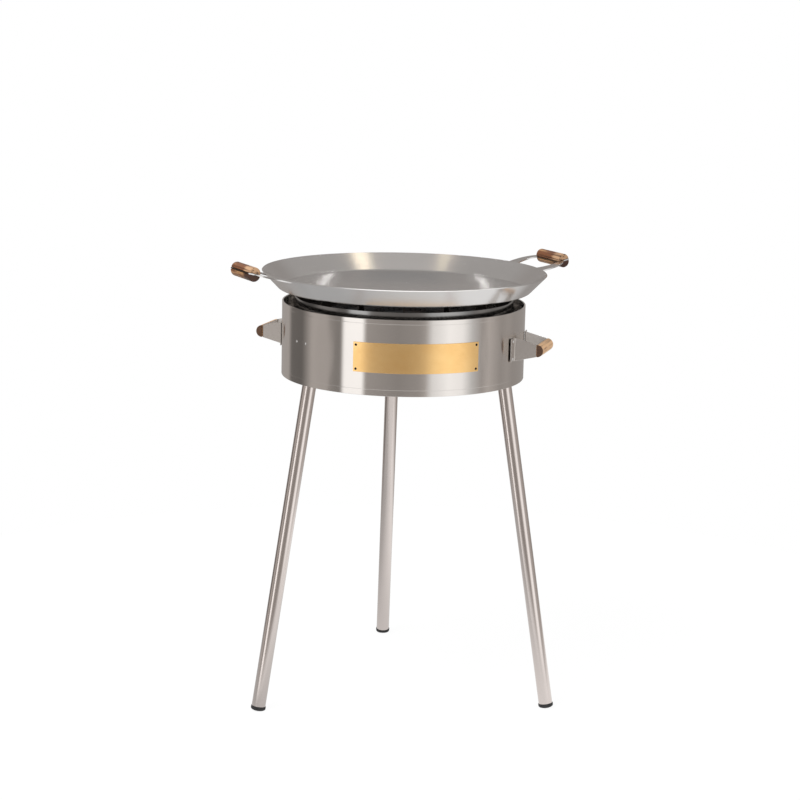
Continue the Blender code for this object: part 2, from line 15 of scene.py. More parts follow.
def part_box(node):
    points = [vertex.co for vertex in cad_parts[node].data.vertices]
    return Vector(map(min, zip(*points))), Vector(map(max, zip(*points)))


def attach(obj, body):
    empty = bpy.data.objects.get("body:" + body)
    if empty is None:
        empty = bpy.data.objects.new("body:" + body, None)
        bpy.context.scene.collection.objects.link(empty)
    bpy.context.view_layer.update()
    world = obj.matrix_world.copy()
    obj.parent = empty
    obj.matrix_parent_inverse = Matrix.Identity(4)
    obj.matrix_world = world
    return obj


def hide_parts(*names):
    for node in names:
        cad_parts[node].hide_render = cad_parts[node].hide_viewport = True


bl_info = {
    "name": "Paella Pan and Burner Stand",
    "version": (1, 0, 0),
    "blender": (4, 5, 0),
    "location": "View3D > Sidebar > Paella Stand",
    "description": "Dresses the packed pan and burner stand with finished pieces and a studio",
    "category": "Object",
}

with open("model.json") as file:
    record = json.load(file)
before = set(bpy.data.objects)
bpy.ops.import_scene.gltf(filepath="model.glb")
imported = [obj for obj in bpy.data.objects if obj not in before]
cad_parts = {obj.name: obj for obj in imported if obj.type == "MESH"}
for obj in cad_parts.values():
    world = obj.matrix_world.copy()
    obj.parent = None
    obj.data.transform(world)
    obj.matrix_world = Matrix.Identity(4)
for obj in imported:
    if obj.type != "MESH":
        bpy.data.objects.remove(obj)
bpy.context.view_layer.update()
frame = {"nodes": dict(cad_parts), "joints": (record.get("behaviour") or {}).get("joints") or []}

SIDES = ("left", "right")
LEGS = ("left", "right", "back")
BURNERS = ("outer", "inner")

# Angles between faces below which shading is smooth and above which an edge is rounded
SMOOTH_BELOW = math.radians(24.0)
ROUND_ABOVE = math.radians(35.0)

# Gap between pieces, and the depth to which a head sinks into its sheet
FIT = 0.0003
SINK = 0.0001

# Roundings of thin sheet, of the hose tail's ribs, of strips and tubes, and of brackets, sockets and feet
FINE_EDGE = 0.0003
RIB_EDGE = 0.0002
STRIP_EDGE = 0.0004
LEG_EDGE = 0.0005

# Steps round the floor, the panels, the pan and the guard, the ring, a leg or grip, a socket or foot, a tube
# hole and the two kinds of head
FLOOR_STEPS = 128
PANEL_STEPS = 96
WIDE_STEPS = 256
RING_STEPS = 224
ROUND_STEPS = 56
SOCKET_STEPS = 48
HOLE_STEPS = 32
SCREW_STEPS = 24
DOME_STEPS = 20

# Steps of the pan's corner, a head's dome, a foot's dome, a grip's rounded edge and a weld's length, and the
# sides of a weld bead and of a nut
CORNER_STEPS = 10
CROWN_STEPS = 5
FOOT_STEPS = 8
GRIP_EDGE_STEPS = 3
WELD_STEPS = 10
BEAD_SIDES = 10
NUT_SIDES = 6

# Rise of the heads of rivets, of socket screws and of domed screws as a share of their radius
RIVET_RISE = 0.55
SOCKET_RISE = 0.6
DOME_RISE = 0.5

# Flat face of a socket screw and the inset and taper of its recess as shares of its radius, and its shoulder
# and the depth of its recess as shares of its rise
SCREW_FACE = 0.7
RECESS_INSET = 0.4
RECESS_TAPER = 0.02
SCREW_SHOULDER = 0.4
RECESS_DEPTH = 0.5

# Radius and rise of the plate's rivets as shares of a handle rivet's radius
PLATE_RIVET = 0.8
PLATE_RISE = 0.3

# Half the height of a hem's crease as a share of its depth
CREASE_SPREAD = 1.5

# Part of a face's normal across a handle strip above which the face is one of the strip's sides
STRIP_SIDE = 0.9

# Start of a tube hole's cutter behind the knob's joint, and its length
HOLE_BACK = 0.12
HOLE_LENGTH = 0.09

# Steps round each burner ring, the upward parts of a normal between which a face of it is a shoulder, and a
# flame port's inset as a share of its depth and the taper of its sides
PORT_STEPS = {"outer": 144, "inner": 72}
LEAST_SLOPE = 0.2
MOST_SLOPE = 0.98
PORT_INSET = 0.75
PORT_TAPER = 0.0002

# Radius and height of a gland nut and of the manifold's cap, and their distances from the knob's joint and
# the manifold's middle
NUT = (0.0128, 0.006)
NUT_BACK = 0.017
CAP = (0.0122, 0.009)
CAP_REACH = 0.0515

# Place of the shelf's screws out from the guard and above the shelf's base, of the brackets' screws above
# their middle, and of both to the side
SHELF_OUT = 0.0031
SHELF_RISE = 0.013
BRACKET_RISE = 0.003
SCREW_SIDE = 0.016

# Height of the pointer line above a knob's middle, and its size
POINTER_RISE = 0.0075
POINTER_SIZE = (0.0004, 0.0018, 0.008)

# Strength and depth of grain lines, and their stretch on turned, cut, rolled, drawn and plated steel
GRAIN_RELIEF = 0.003
GRAIN_DEPTH = 0.0001
TURNED = (420.0, 0.0, 420.0)
CUT = (90.0, 90.0, 400.0)
ROLLED = (4.0, 4.0, 700.0)
DRAWN = (300.0, 300.0, 5.0)
PLATED = (300.0, 300.0, 300.0)

# Stretch of the pale clouds and the handling marks on metal, and of the wood's patches, grain lines and pores
CLOUDS = (7.0, 7.0, 7.0)
SMEARS = (38.0, 38.0, 24.0)
PATCHES = (90.0, 14.0, 90.0)
GRAIN = (190.0, 7.0, 230.0)
PORES = (700.0, 26.0, 700.0)

# Width of the step from red to light wood, and distances from a grip's middle between which the painted shade
# on the steel between the scales ends, as shares of the grip's length
RED_FADE = 0.10
SCALE_SHADE_FULL = 0.44
SCALE_SHADE_END = 0.48

# Drop of the studio's floor and of the panels' ground below the feet, and width of the camera's frame in mm
FLOOR_DROP = 0.0002
GROUND_DROP = 0.0001
FRAME_WIDTH = 36.0

# The colour white, which is also no tint
PLAIN = (1.0, 1.0, 1.0)


def middle(node):
    """Centre of a CAD node's box."""
    low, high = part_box(node)
    return (low + high) / 2


def half_width(node):
    """Half a node's width, which is the radius of a round one on the stand's axis."""
    low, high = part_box(node)
    return (high.x - low.x) / 2


AXIS = middle("housing_band") * Vector((1, 1, 0))


def bearing(node):
    """Angle about the stand's axis at which a node sits."""
    place = middle(node) - AXIS
    return math.atan2(place.y, place.x)


def outward(turn, radius=0.0, height=0.0):
    """Matrix at a bearing, radius and height, with X outward and Z up."""
    at_axis = Matrix.Translation((AXIS.x, AXIS.y, height))
    return at_axis @ Matrix.Rotation(turn, 4, "Z") @ Matrix.Translation((radius, 0, 0))


def joint(name):
    """The frame's joint of that name."""
    return next(item for item in frame["joints"] if item["name"] == name)


def along(direction, place):
    """Matrix at a place with Z along a direction."""
    turn = Vector((0, 0, 1)).rotation_difference(Vector(direction)).to_matrix().to_4x4()
    return Matrix.Translation(place) @ turn


def vertices(node):
    """Corners of a CAD node."""
    return [vert.co for vert in frame["nodes"][node].data.vertices]


def span(node, place):
    """Lowest and highest point of a CAD node along the Z axis of a place."""
    back = place.inverted()
    heights = [(back @ corner).z for corner in vertices(node)]
    return min(heights), max(heights)


def facing_out(place):
    """A place turned so that its Z points outward."""
    return place @ Matrix.Rotation(math.pi / 2, 4, "Y")


def length(name, description, default):
    """Property for a size in metres."""
    return bpy.props.FloatProperty(name=name, description=description, default=default, unit="LENGTH",
                                   precision=5)


def angle(name, description, degrees):
    """Property for an angle."""
    return bpy.props.FloatProperty(name=name, description=description, default=math.radians(degrees),
                                   subtype="ANGLE")


def share(name, description, default):
    """Property for a plain factor."""
    return bpy.props.FloatProperty(name=name, description=description, default=default, subtype="FACTOR")


def level(name, description, default):
    """Property for a brightness or a power."""
    return bpy.props.FloatProperty(name=name, description=description, default=default)


def colour(name, description, default):
    """Property for a colour."""
    return bpy.props.FloatVectorProperty(name=name, description=description, default=default, size=3,
                                         min=0.0, max=1.0, subtype="COLOR")


class PanLooks(bpy.types.PropertyGroup):
    """Sizes and finish of the pan and its handles."""

    rim_radius: length("Rim radius", "Outer radius of the pan's rim", half_width("pan_bowl"))
    sheet: length("Sheet", "Thickness of the pan's sheet", 0.0025)
    wall_angle: angle("Wall angle", "Slope of the wall from the floor's plane", 46.0)
    corner: length("Corner", "Outside radius between floor and wall", 0.012)
    edge: length("Edge", "Rounding of the cut rim and the handle plates", 0.0004)
    handle_rise: angle("Handle rise", "Angle at which the handles climb from the rim", 13.0)
    handle_plate: length("Handle plate", "Thickness of the handle plates", 0.003)
    weld: length("Weld", "Radius of the weld beads under the handles", 0.0016)
    foot_near: angle("Foot near", "Angle from a handle's middle to the near end of its welds", 8.4)
    foot_far: angle("Foot far", "Angle from a handle's middle to the far end of its welds", 13.7)
    steel: colour("Steel", "Colour of the pan's steel", (0.71, 0.695, 0.685))
    roughness: share("Roughness", "Roughness of the pan's steel", 0.18)


class GripLooks(bpy.types.PropertyGroup):
    """Sizes and wood of the half-round grips."""

    radius: length("Radius", "Radius of the half-round", 0.0124)
    length: length("Length", "Length of a grip", 0.092)
    edge: length("Edge", "Rounding of the ends and edges", 0.0012)
    light_wood: colour("Light wood", "Colour between the grain lines", (0.42, 0.225, 0.098))
    dark_wood: colour("Dark wood", "Colour of the grain lines", (0.060, 0.024, 0.010))
    red_wood: colour("Red wood", "Colour of the redder patches", (0.185, 0.066, 0.024))
    # Painted light on the near end of a top scale, and painted shade on the near end of a lower scale
    lit_end: colour("Pale end", "Colour of a pale end of the wood", (0.53, 0.32, 0.18))
    shaded_end: colour("Dark end", "Colour of a dark end of the wood", (0.052, 0.019, 0.010))
    # Painted shade: the dark brown painted on the steel between the scales
    between_scales_shade: colour("Stain", "Colour of the steel between the scales", (0.16, 0.10, 0.055))
    # Painted light: the stand grips take a paler, lit copy of the grips' wood
    stand_wood: colour("Stand wood", "Colour between the grain lines of a stand grip", (0.82, 0.50, 0.26))
    # Painted shade on the near end faces of the stand grips
    stand_shaded_end: colour("Stand end", "Colour of the end faces of a stand grip", (0.105, 0.055, 0.032))


class GuardLooks(bpy.types.PropertyGroup):
    """Sizes and finish of the wind guard and what is fixed to its outside."""

    sheet: length("Sheet", "Thickness of the guard's sheet", 0.0015)
    hem_sheet: length("Hem sheet", "Thickness of the folded hem", 0.0016)
    hem_top: length("Top hem", "Height of the hem at the top edge", 0.009)
    hem_base: length("Lower hem", "Height of the hem at the lower edge", 0.012)
    crease: length("Crease", "Depth of the crease that a hem leaves outside", 0.0005)
    tube_hole: length("Tube hole", "Radius of the holes that the mixing tubes pass through", 0.0103)
    rivet: length("Rivet", "Radius of the rivet heads", 0.0032)
    rivet_rise: length("Rivet rise", "Height of a handle's rivets above and below its middle", 0.0175)
    flange: length("Flange", "Length of the flanges of a stand handle", 0.020)
    flange_lift: angle("Flange lift", "Angle between a flange and the guard under it", 6.5)
    screw: length("Screw", "Radius of the screw heads", 0.0030)
    plate_inset: length("Plate inset", "Distance of the plate's rivets from its edges", 0.0056)
    steel: colour("Steel", "Colour of the guard's steel", (0.735, 0.695, 0.66))
    inside: colour("Inside", "Colour of the guard's dull inside", (0.82, 0.79, 0.76))
    roughness: share("Roughness", "Roughness of the guard's steel", 0.16)
    strip_roughness: share("Strip roughness", "Roughness of the brushed handle strips", 0.12)
    strip_metallic: share("Strip metal", "Share of bare metal in the brushed handle strips", 0.90)
    dull_roughness: share("Dull roughness", "Roughness of the dull insides of the handle strips", 0.5)
    dull_metallic: share("Dull metal", "Share of bare metal in the dull insides of the handle strips", 0.3)
    brass: colour("Brass", "Colour of the plate", (0.98, 0.635, 0.27))
    brass_roughness: share("Brass roughness", "Roughness of the plate", 0.25)


class BurnerLooks(bpy.types.PropertyGroup):
    """Sizes and finish of the burner, its support and the gas line."""

    ring_sheet: length("Ring sheet", "Thickness of the support ring", 0.003)
    tube_width: length("Tube width", "Width of a burner ring's section", 0.026)
    crown_width: length("Crown width", "Width of a burner ring's flat top", 0.014)
    shoulder: length("Shoulder", "Height of a burner ring's sloping shoulder", 0.007)
    port: length("Port", "Depth of the flame ports", 0.003)
    edge: length("Edge", "Rounding of the burner's and the fittings' edges", 0.0005)
    # Painted shade: the heated steel's colour and its dimmed glancing sheen below are heat tint and sooting
    # made darker still, for the unlit inside of the stand
    dark_steel: colour("Dark steel", "Colour of the heat-darkened steel", (0.036, 0.034, 0.033))
    soot_and_shade_sheen: share("Soot sheen", "Share of glancing light that the heat-darkened steel sends back", 0.12)
    ring_steel: colour("Ring steel", "Colour of the ring under the pan", (0.32, 0.315, 0.31))
    ring_roughness: share("Ring roughness", "Roughness of the ring under the pan", 0.16)
    # Painted shade: a sooty colour for the ring's inside, darkened further as painted shade for the unlit gap
    # under the pan
    soot_and_shade: colour("Soot", "Colour of the sooted inside of the ring under the pan", (0.030, 0.029, 0.028))
    cast_iron: colour("Cast iron", "Colour of the burner rings", (0.045, 0.045, 0.047))
    brass: colour("Brass", "Colour of the gas fittings", (0.74, 0.53, 0.25))
    brass_roughness: share("Brass roughness", "Roughness of the gas fittings", 0.28)
    black: colour("Black", "Colour of knobs and feet", (0.018, 0.018, 0.019))
    knob_roughness: share("Knob roughness", "Roughness of the knobs", 0.42)
    mark: colour("Mark", "Colour of the pointer line on a knob", (0.80, 0.79, 0.76))


class LegLooks(bpy.types.PropertyGroup):
    """Sizes and finish of the legs, their sockets and feet."""

    tube_radius: length("Tube radius", "Outer radius of a leg", 0.014)
    tube_wall: length("Tube wall", "Wall of a leg's tube", 0.0015)
    socket_bore: length("Socket bore", "Radius of the hole that takes the leg", 0.01435)
    socket_wall: length("Socket wall", "Wall of a socket", 0.0025)
    socket_cap: length("Socket cap", "Thickness of a socket's closed top", 0.004)
    foot_radius: length("Foot radius", "Radius of a foot", 0.015)
    foot_collar: length("Foot collar", "Height of a foot below the tube", 0.008)
    foot_plug: length("Foot plug", "Length of a foot inside the tube", 0.022)
    foot_dome: length("Foot dome", "Height of a foot's domed end", 0.0055)
    foot_sink: length("Foot sink", "Depth to which the dome is flattened", 0.002)
    steel: colour("Steel", "Colour of the legs", (0.745, 0.675, 0.64))
    roughness: share("Roughness", "Roughness of the legs", 0.17)
    foot_roughness: share("Foot roughness", "Roughness of the feet", 0.62)


class StudioLooks(bpy.types.PropertyGroup):
    """Camera, surround, panels and lamp."""

    camera_turn: angle("Camera bearing", "Bearing of the camera from the stand's axis", -95.41)
    camera_distance: length("Camera distance", "Distance of the camera from the stand's axis", 4.120)
    camera_height: length("Camera height", "Height of the camera above the floor", 1.431)
    camera_pitch: angle("Camera pitch", "Angle at which the camera looks down", 11.33)
    camera_roll: angle("Camera roll", "Roll of the camera about its view", 1.25)
    camera_yaw: angle("Camera yaw", "Turn of the view away from the stand's axis", 0.05)
    lens: level("Lens", "Focal length in millimetres on a 36 mm frame", 91.8)
    floor_radius: length("Floor radius", "Radius of the pale floor", 1.5)
    floor: colour("Floor", "Colour of the floor", (0.90, 0.90, 0.90))
    floor_glow: share("Floor glow", "Share of plain white in the floor that the camera sees", 0.9)
    floor_white: level("Floor white", "Brightness of that plain white", 1.025)
    surround: level("Surround", "Level of the light that comes from all round", 0.85)
    panel_reach: length("Panel reach", "Distance of the studio panels from the stand's axis", 2.6)
    panel_height: length("Panel height", "Height of the panels and of the ceiling over them", 2.6)
    ceiling: level("Ceiling", "Brightness of the middle of the ceiling that the metal shows", 0.53)
    ceiling_edge: level("Ceiling edge", "Brightness of that ceiling away from its middle", 0.44)
    ceiling_middle: length("Ceiling middle", "Radius of the ceiling's brighter middle", 0.30)
    ceiling_fade: length("Ceiling fade", "Width of the fade round that middle", 0.60)
    near_floor: length("Near floor", "Radius of the floor round the stand that the metal shows", 0.80)
    front_floor: length("Front floor", "Distance in front of the axis at which that floor turns even", 0.42)
    floor_level: level("Floor level", "Brightness of the floor in front", 0.82)
    floor_left: level("Floor left", "Brightness of the left of the floor under the stand", 0.50)
    floor_right: level("Floor right", "Brightness of the right of the floor under the stand", 0.96)
    floor_side: length("Floor side", "Distance from the axis at which those two are met", 0.50)
    lamp_height: length("Lamp height", "Height of the lit faces and the lamp above the floor", 2.4)
    lamp_reach: length("Lamp reach", "Distance of the lamp in front and to the left of the axis", 0.98)
    lamp_power: level("Lamp power", "Power of the broad lamp in watts", 30.0)
    lamp_width: length("Lamp width", "Width of the broad lamp", 1.6)


def looks(context, group):
    """One of the scene's groups of looks."""
    return getattr(context.scene, f"paella_{group}")


def arc(centre, radius, start, end, steps):
    """Points of a circular arc in a profile, both ends included."""
    turns = [start + (end - start) * i / steps for i in range(steps + 1)]
    return [(centre[0] + radius * math.cos(a), centre[1] + radius * math.sin(a)) for a in turns]


def spun(profile, steps, place=Matrix(), turn=math.tau):
    """Spin a profile of (radius, height) points about the Z axis of a place."""
    bm = bmesh.new()
    verts = [bm.verts.new((r, 0, z)) for r, z in profile]
    edges = [bm.edges.new(pair) for pair in zip(verts, verts[1:])]
    if profile[0][0] > 0:
        edges.append(bm.edges.new((verts[-1], verts[0])))
    geom = verts + edges
    whole = turn == math.tau
    if not whole:
        geom.append(bm.faces.new(verts))
    bmesh.ops.spin(bm, geom=geom, cent=(0, 0, 0), axis=(0, 0, 1), dvec=(0, 0, 0), angle=turn,
                   steps=steps, use_merge=whole, use_duplicate=False)
    bmesh.ops.remove_doubles(bm, verts=bm.verts, dist=1e-6)
    bmesh.ops.recalc_face_normals(bm, faces=bm.faces)
    bmesh.ops.transform(bm, matrix=place, verts=bm.verts)
    return bm


def bar(segments, radius, depth, place=Matrix()):
    """Bar along the Z axis of a place: round with many segments, hexagonal with six."""
    bm = bmesh.new()
    bmesh.ops.create_cone(bm, cap_ends=True, segments=segments, radius1=radius, radius2=radius,
                          depth=depth)
    bmesh.ops.transform(bm, matrix=place @ Matrix.Translation((0, 0, depth / 2)), verts=bm.verts)
    return bm


def soften(bm, edge, segments=2):
    """Round every sharp edge."""
    sharp = [e for e in bm.edges if e.is_manifold and e.calc_face_angle() > ROUND_ABOVE]
    bmesh.ops.bevel(bm, geom=sharp, offset=edge, offset_type="OFFSET", segments=segments, profile=0.5,
                    affect="EDGES", clamp_overlap=True, material=-1)
    return bm


def cad_copy(node, edge):
    """Merged copy of a CAD node with its flats made whole and its edges rounded."""
    bm = bmesh.new()
    bm.from_mesh(frame["nodes"][node].data)
    bmesh.ops.remove_doubles(bm, verts=bm.verts, dist=1e-5)
    bmesh.ops.dissolve_limit(bm, angle_limit=math.radians(1.0), verts=bm.verts, edges=bm.edges)
    return soften(bm, edge)


def joined(shapes):
    """Put several shapes into one."""
    whole = bmesh.new()
    for shape in shapes:
        part = bpy.data.meshes.new("part")
        shape.to_mesh(part)
        shape.free()
        whole.from_mesh(part)
        bpy.data.meshes.remove(part)
    return whole


def applied(obj, modifier):
    """Take a modifier's result as the object's own shape."""
    graph = bpy.context.evaluated_depsgraph_get()
    shape = bpy.data.meshes.new_from_object(obj.evaluated_get(graph), preserve_all_data_layers=True,
                                            depsgraph=graph)
    obj.modifiers.remove(modifier)
    obj.data = shape


def shade(obj):
    """Shade smoothly below an angle, with flats that stay flat up to their rounded edges."""
    obj.data.shade_smooth()
    obj.data.set_sharp_from_angle(angle=SMOOTH_BELOW)
    even = obj.modifiers.new("even_shading", "WEIGHTED_NORMAL")
    even.keep_sharp = True
    applied(obj, even)


def linked(name, data):
    """Object of some data, put in the scene."""
    obj = bpy.data.objects.new(name, data)
    bpy.context.scene.collection.objects.link(obj)
    return obj


def made_object(name, bm):
    """Object of a shape, put in the scene."""
    mesh = bpy.data.meshes.new(name)
    bm.to_mesh(mesh)
    bm.free()
    return linked(name, mesh)


def piece(name, bm, material, body, nodes):
    """Make an object of a shape and set it on a CAD body in place of its nodes, if it stands for any."""
    obj = made_object(name, bm)
    obj.data.materials.append(material)
    shade(obj)
    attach(obj, body)
    if nodes:
        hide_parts(*nodes)
    return obj


def rounded_node(name, node, edge, material, body):
    """Piece made of a CAD node whose edges are rounded."""
    return piece(name, cad_copy(node, edge), material, body, [node])


def dome_head(radius, rise, place):
    """Domed rivet or screw head that stands on the XY plane of a place."""
    bend = (radius * radius + rise * rise) / (2 * rise)
    half = math.asin(min(1.0, radius / bend))
    crown = arc((0, rise - bend), bend, math.pi / 2, math.pi / 2 - half, CROWN_STEPS)
    crown[0] = (0, rise)
    return spun(crown + [(0, 0)], DOME_STEPS, place)


def socket_screw(radius, rise, place):
    """Button-head screw with a round recess."""
    back = place.inverted()
    profile = [(0, rise), (radius * SCREW_FACE, rise), (radius, rise * SCREW_SHOULDER), (radius, 0), (0, 0)]
    head = spun(profile, SCREW_STEPS, place)

    def height(face):
        """Height of a face above the head's foot."""
        return (back @ face.calc_center_median()).z

    bmesh.ops.dissolve_faces(head, faces=[face for face in head.faces if abs(height(face) - rise) < 1e-7])
    cap = max(head.faces, key=height)
    bmesh.ops.inset_region(head, faces=[cap], thickness=radius * RECESS_INSET, depth=0.0)
    bmesh.ops.inset_region(head, faces=[cap], thickness=radius * RECESS_TAPER, depth=-rise * RECESS_DEPTH)
    return head


def set_inputs(tree, node, inputs):
    """Set a node's inputs to plain values, or link them to the outputs of other nodes."""
    for key, value in inputs.items():
        if isinstance(value, bpy.types.NodeSocket):
            tree.links.new(value, node.inputs[key])
        else:
            node.inputs[key].default_value = value


def add_node(tree, kind, inputs=None, **settings):
    """Shader node with its settings and inputs."""
    made = tree.nodes.new(kind)
    for key, value in settings.items():
        setattr(made, key, value)
    set_inputs(tree, made, inputs or {})
    return made


def maths(tree, operation, *values):
    """Result of a sum on plain values or on the outputs of nodes."""
    return add_node(tree, "ShaderNodeMath", dict(enumerate(values)), operation=operation).outputs[0]


def axes(tree, vector):
    """The X, Y and Z of a vector."""
    return add_node(tree, "ShaderNodeSeparateXYZ", {0: vector}).outputs


def new_material(name, base, roughness, metallic):
    """Principled material with plain values, and its tree and shader."""
    material = bpy.data.materials.new(name)
    material.use_nodes = True
    tree = material.node_tree
    shader = tree.nodes["Principled BSDF"]
    set_inputs(tree, shader, {"Base Color": (*base, 1.0), "Roughness": roughness, "Metallic": metallic})
    return material, tree, shader


def made_once(make):
    """Let a function make a material only the first time that its name is asked for."""
    def found_or_made(name, *values, **settings):
        """The material of that name, or a new one."""
        return bpy.data.materials.get(name) or make(name, *values, **settings)

    return found_or_made


def object_place(tree, turn=0.0):
    """Object coordinates from the stand's axis, turned so that X points outward at a bearing."""
    place = add_node(tree, "ShaderNodeTexCoord").outputs["Object"]
    for key, value in (("Location", (-AXIS.x, -AXIS.y, 0)), ("Rotation", (0, 0, -turn))):
        place = add_node(tree, "ShaderNodeMapping", {"Vector": place, key: value}).outputs[0]
    return place


def ring_place(tree):
    """Coordinates of radius, nothing and height about the stand's axis, for turned and spun marks."""
    x, y, z = axes(tree, object_place(tree))
    flat = add_node(tree, "ShaderNodeCombineXYZ", {"X": x, "Y": y}).outputs[0]
    radius = add_node(tree, "ShaderNodeVectorMath", {0: flat}, operation="LENGTH").outputs["Value"]
    return add_node(tree, "ShaderNodeCombineXYZ", {"X": radius, "Z": z}).outputs[0]


def noise(tree, place, stretch, detail=3.0, roughness=0.5):
    """Noise over coordinates that are stretched along each axis."""
    scaled = add_node(tree, "ShaderNodeMapping", {"Vector": place, "Scale": stretch}).outputs[0]
    inputs = {"Vector": scaled, "Scale": 1.0, "Detail": detail, "Roughness": roughness}
    return add_node(tree, "ShaderNodeTexNoise", inputs).outputs["Fac"]


def mapped(tree, value, low, high, to_low=0.0, to_high=1.0):
    """A value carried from one range to another."""
    inputs = {"Value": value, "From Min": low, "From Max": high, "To Min": to_low, "To Max": to_high}
    return add_node(tree, "ShaderNodeMapRange", inputs).outputs["Result"]


def blended(tree, factor, first, second):
    """Colour between two others, each of them plain or the output of a node."""
    inputs = {"Factor": factor}
    for key, tone in (("A", first), ("B", second)):
        inputs[key] = tone if isinstance(tone, bpy.types.NodeSocket) else (*tone, 1.0)
    return add_node(tree, "ShaderNodeMix", inputs, data_type="RGBA").outputs["Result"]


def relief(tree, height, strength, distance):
    """Normal of a surface with bumps."""
    inputs = {"Height": height, "Strength": strength, "Distance": distance}
    return add_node(tree, "ShaderNodeBump", inputs).outputs["Normal"]


def tinted(base, tint):
    """A colour times a tint."""
    return tuple(min(1.0, part * factor) for part, factor in zip(base, tint))


def shaded(base, factor):
    """A colour made lighter or darker."""
    return tinted(base, (factor, factor, factor))


@made_once
def grained_metal(name, base, roughness, grain, turned=False, inside=None, metallic=1.0):
    """Bare metal with grain lines and faint handling marks, and a patchy colour inside a radius if given,
    which on the ring under the pan is sooty with painted shade.
    """
    material, tree, shader = new_material(name, base, roughness, metallic)
    place = object_place(tree)
    lines = noise(tree, ring_place(tree) if turned else place, grain, 2.0)
    cloud = noise(tree, place, CLOUDS, 4.0)
    smear = noise(tree, place, SMEARS, 5.0, 0.65)
    tone = blended(tree, mapped(tree, cloud, 0.3, 0.7), shaded(base, 0.97), shaded(base, 1.02))
    if inside:
        radius, dull = inside
        # Patchy inside colour, which on the ring under the pan carries painted shade
        inside_tone = blended(tree, mapped(tree, smear, 0.35, 0.7), shaded(dull, 0.8), shaded(dull, 1.2))
        within = maths(tree, "LESS_THAN", axes(tree, ring_place(tree))["X"], radius)
        tone = blended(tree, within, tone, inside_tone)
    gloss = mapped(tree, smear, 0.35, 0.75, roughness * 0.95, roughness * 1.10)
    streaks = maths(tree, "MULTIPLY", gloss, mapped(tree, lines, 0.3, 0.7, 0.94, 1.06))
    set_inputs(tree, shader, {"Base Color": tone, "Roughness": streaks,
                              "Normal": relief(tree, lines, GRAIN_RELIEF, GRAIN_DEPTH)})
    return material


# A patchy skin: its share of bare metal, the stretch, detail and spread of its patches, the ranges of their
# noise over which colour and roughness change, and the stretch, detail, strength and depth of its bumps
Skin = collections.namedtuple(
    "Skin", "metal patches detail spread tones gloss bumps bump_detail strength depth")
BRASS = Skin(metal=0.82, patches=(16.0, 16.0, 22.0), detail=5.0, spread=0.6, tones=(0.42, 0.72),
             gloss=(0.35, 0.75), bumps=(12.0, 12.0, 700.0), bump_detail=2.0, strength=GRAIN_RELIEF,
             depth=GRAIN_DEPTH)
HEATED = Skin(metal=0.9, patches=(14.0, 14.0, 30.0), detail=4.0, spread=0.6, tones=(0.35, 0.68),
              gloss=(0.3, 0.7), bumps=(420.0, 420.0, 420.0), bump_detail=3.0, strength=0.05, depth=0.0002)
CAST = Skin(metal=0.35, patches=(45.0, 45.0, 45.0), detail=5.0, spread=0.65, tones=(0.5, 0.8, 0.0, 0.7),
            gloss=(0.3, 0.7), bumps=(900.0, 900.0, 900.0), bump_detail=4.0, strength=0.35, depth=0.0004)
MOULDED = Skin(metal=0.0, patches=(120.0, 120.0, 120.0), detail=4.0, spread=0.5, tones=(0.45, 0.8),
               gloss=(0.3, 0.7), bumps=(1600.0, 1600.0, 1600.0), bump_detail=2.0, strength=0.12, depth=0.0002)


@made_once
def patchy(name, skin, first, second, glossy, matt, **others):
    """Material whose colour and roughness change in patches, with fine bumps."""
    material, tree, shader = new_material(name, first, (glossy + matt) / 2, skin.metal)
    place = object_place(tree)
    cloud = noise(tree, place, skin.patches, skin.detail, skin.spread)
    bumps = noise(tree, place, skin.bumps, skin.bump_detail)
    set_inputs(tree, shader, {"Base Color": blended(tree, mapped(tree, cloud, *skin.tones), first, second),
                              "Roughness": mapped(tree, cloud, *skin.gloss, glossy, matt),
                              "Normal": relief(tree, bumps, skin.strength, skin.depth), **others})
    return material


def brass_finish(name, base, roughness):
    """Brass with a thin uneven tarnish and fine polishing lines."""
    return patchy(name, BRASS, base, tinted(base, (0.93, 0.88, 0.80)), roughness * 0.95, roughness * 1.10)


def heated_steel(context):
    """Steel darkened by flame and further as painted shade, with brown and blue heat tints and a glancing
    shine that sooting and painted shade dim.
    """
    group = looks(context, "burner")
    brown = tinted(group.dark_steel, (1.15, 1.0, 0.86))
    blue = tinted(group.dark_steel, (0.72, 0.76, 0.86))
    # Painted shade: the glancing shine dimmed for the dark inside of the stand, beside real sooting
    sheen = (*shaded(PLAIN, group.soot_and_shade_sheen), 1.0)
    return patchy("support_steel_heated", HEATED, brown, blue, 0.34, 0.52, **{"Specular Tint": sheen})


def cast_iron_finish(name, base):
    """Sand-cast iron with a rough skin and a little rust in the hollows."""
    return patchy(name, CAST, base, tinted(base, (2.4, 1.35, 0.9)), 0.62, 0.82)


def moulded_black(name, base, roughness):
    """Moulded black rubber or plastic with a fine matt skin."""
    return patchy(name, MOULDED, base, shaded(base, 2.2), roughness * 0.9, roughness * 1.15)


@made_once
def painted_mark(name, base):
    """Pale worn paint of a knob's pointer line."""
    material, tree, shader = new_material(name, base, 0.5, 0.0)
    wear = noise(tree, object_place(tree), (500.0, 500.0, 500.0), 3.0)
    tone = blended(tree, mapped(tree, wear, 0.5, 0.75), base, shaded(base, 0.6))
    set_inputs(tree, shader, {"Base Color": tone})
    return material


# A kind of wood: its light tone, the level of the patch noise below which it is red, the strength of its
# grain lines, the painted light or painted shade on its near end, that end's share of a grip's length, and
# the fade into it as a share of its place
Wood = collections.namedtuple("Wood", "light red_below lines end end_share end_fade")


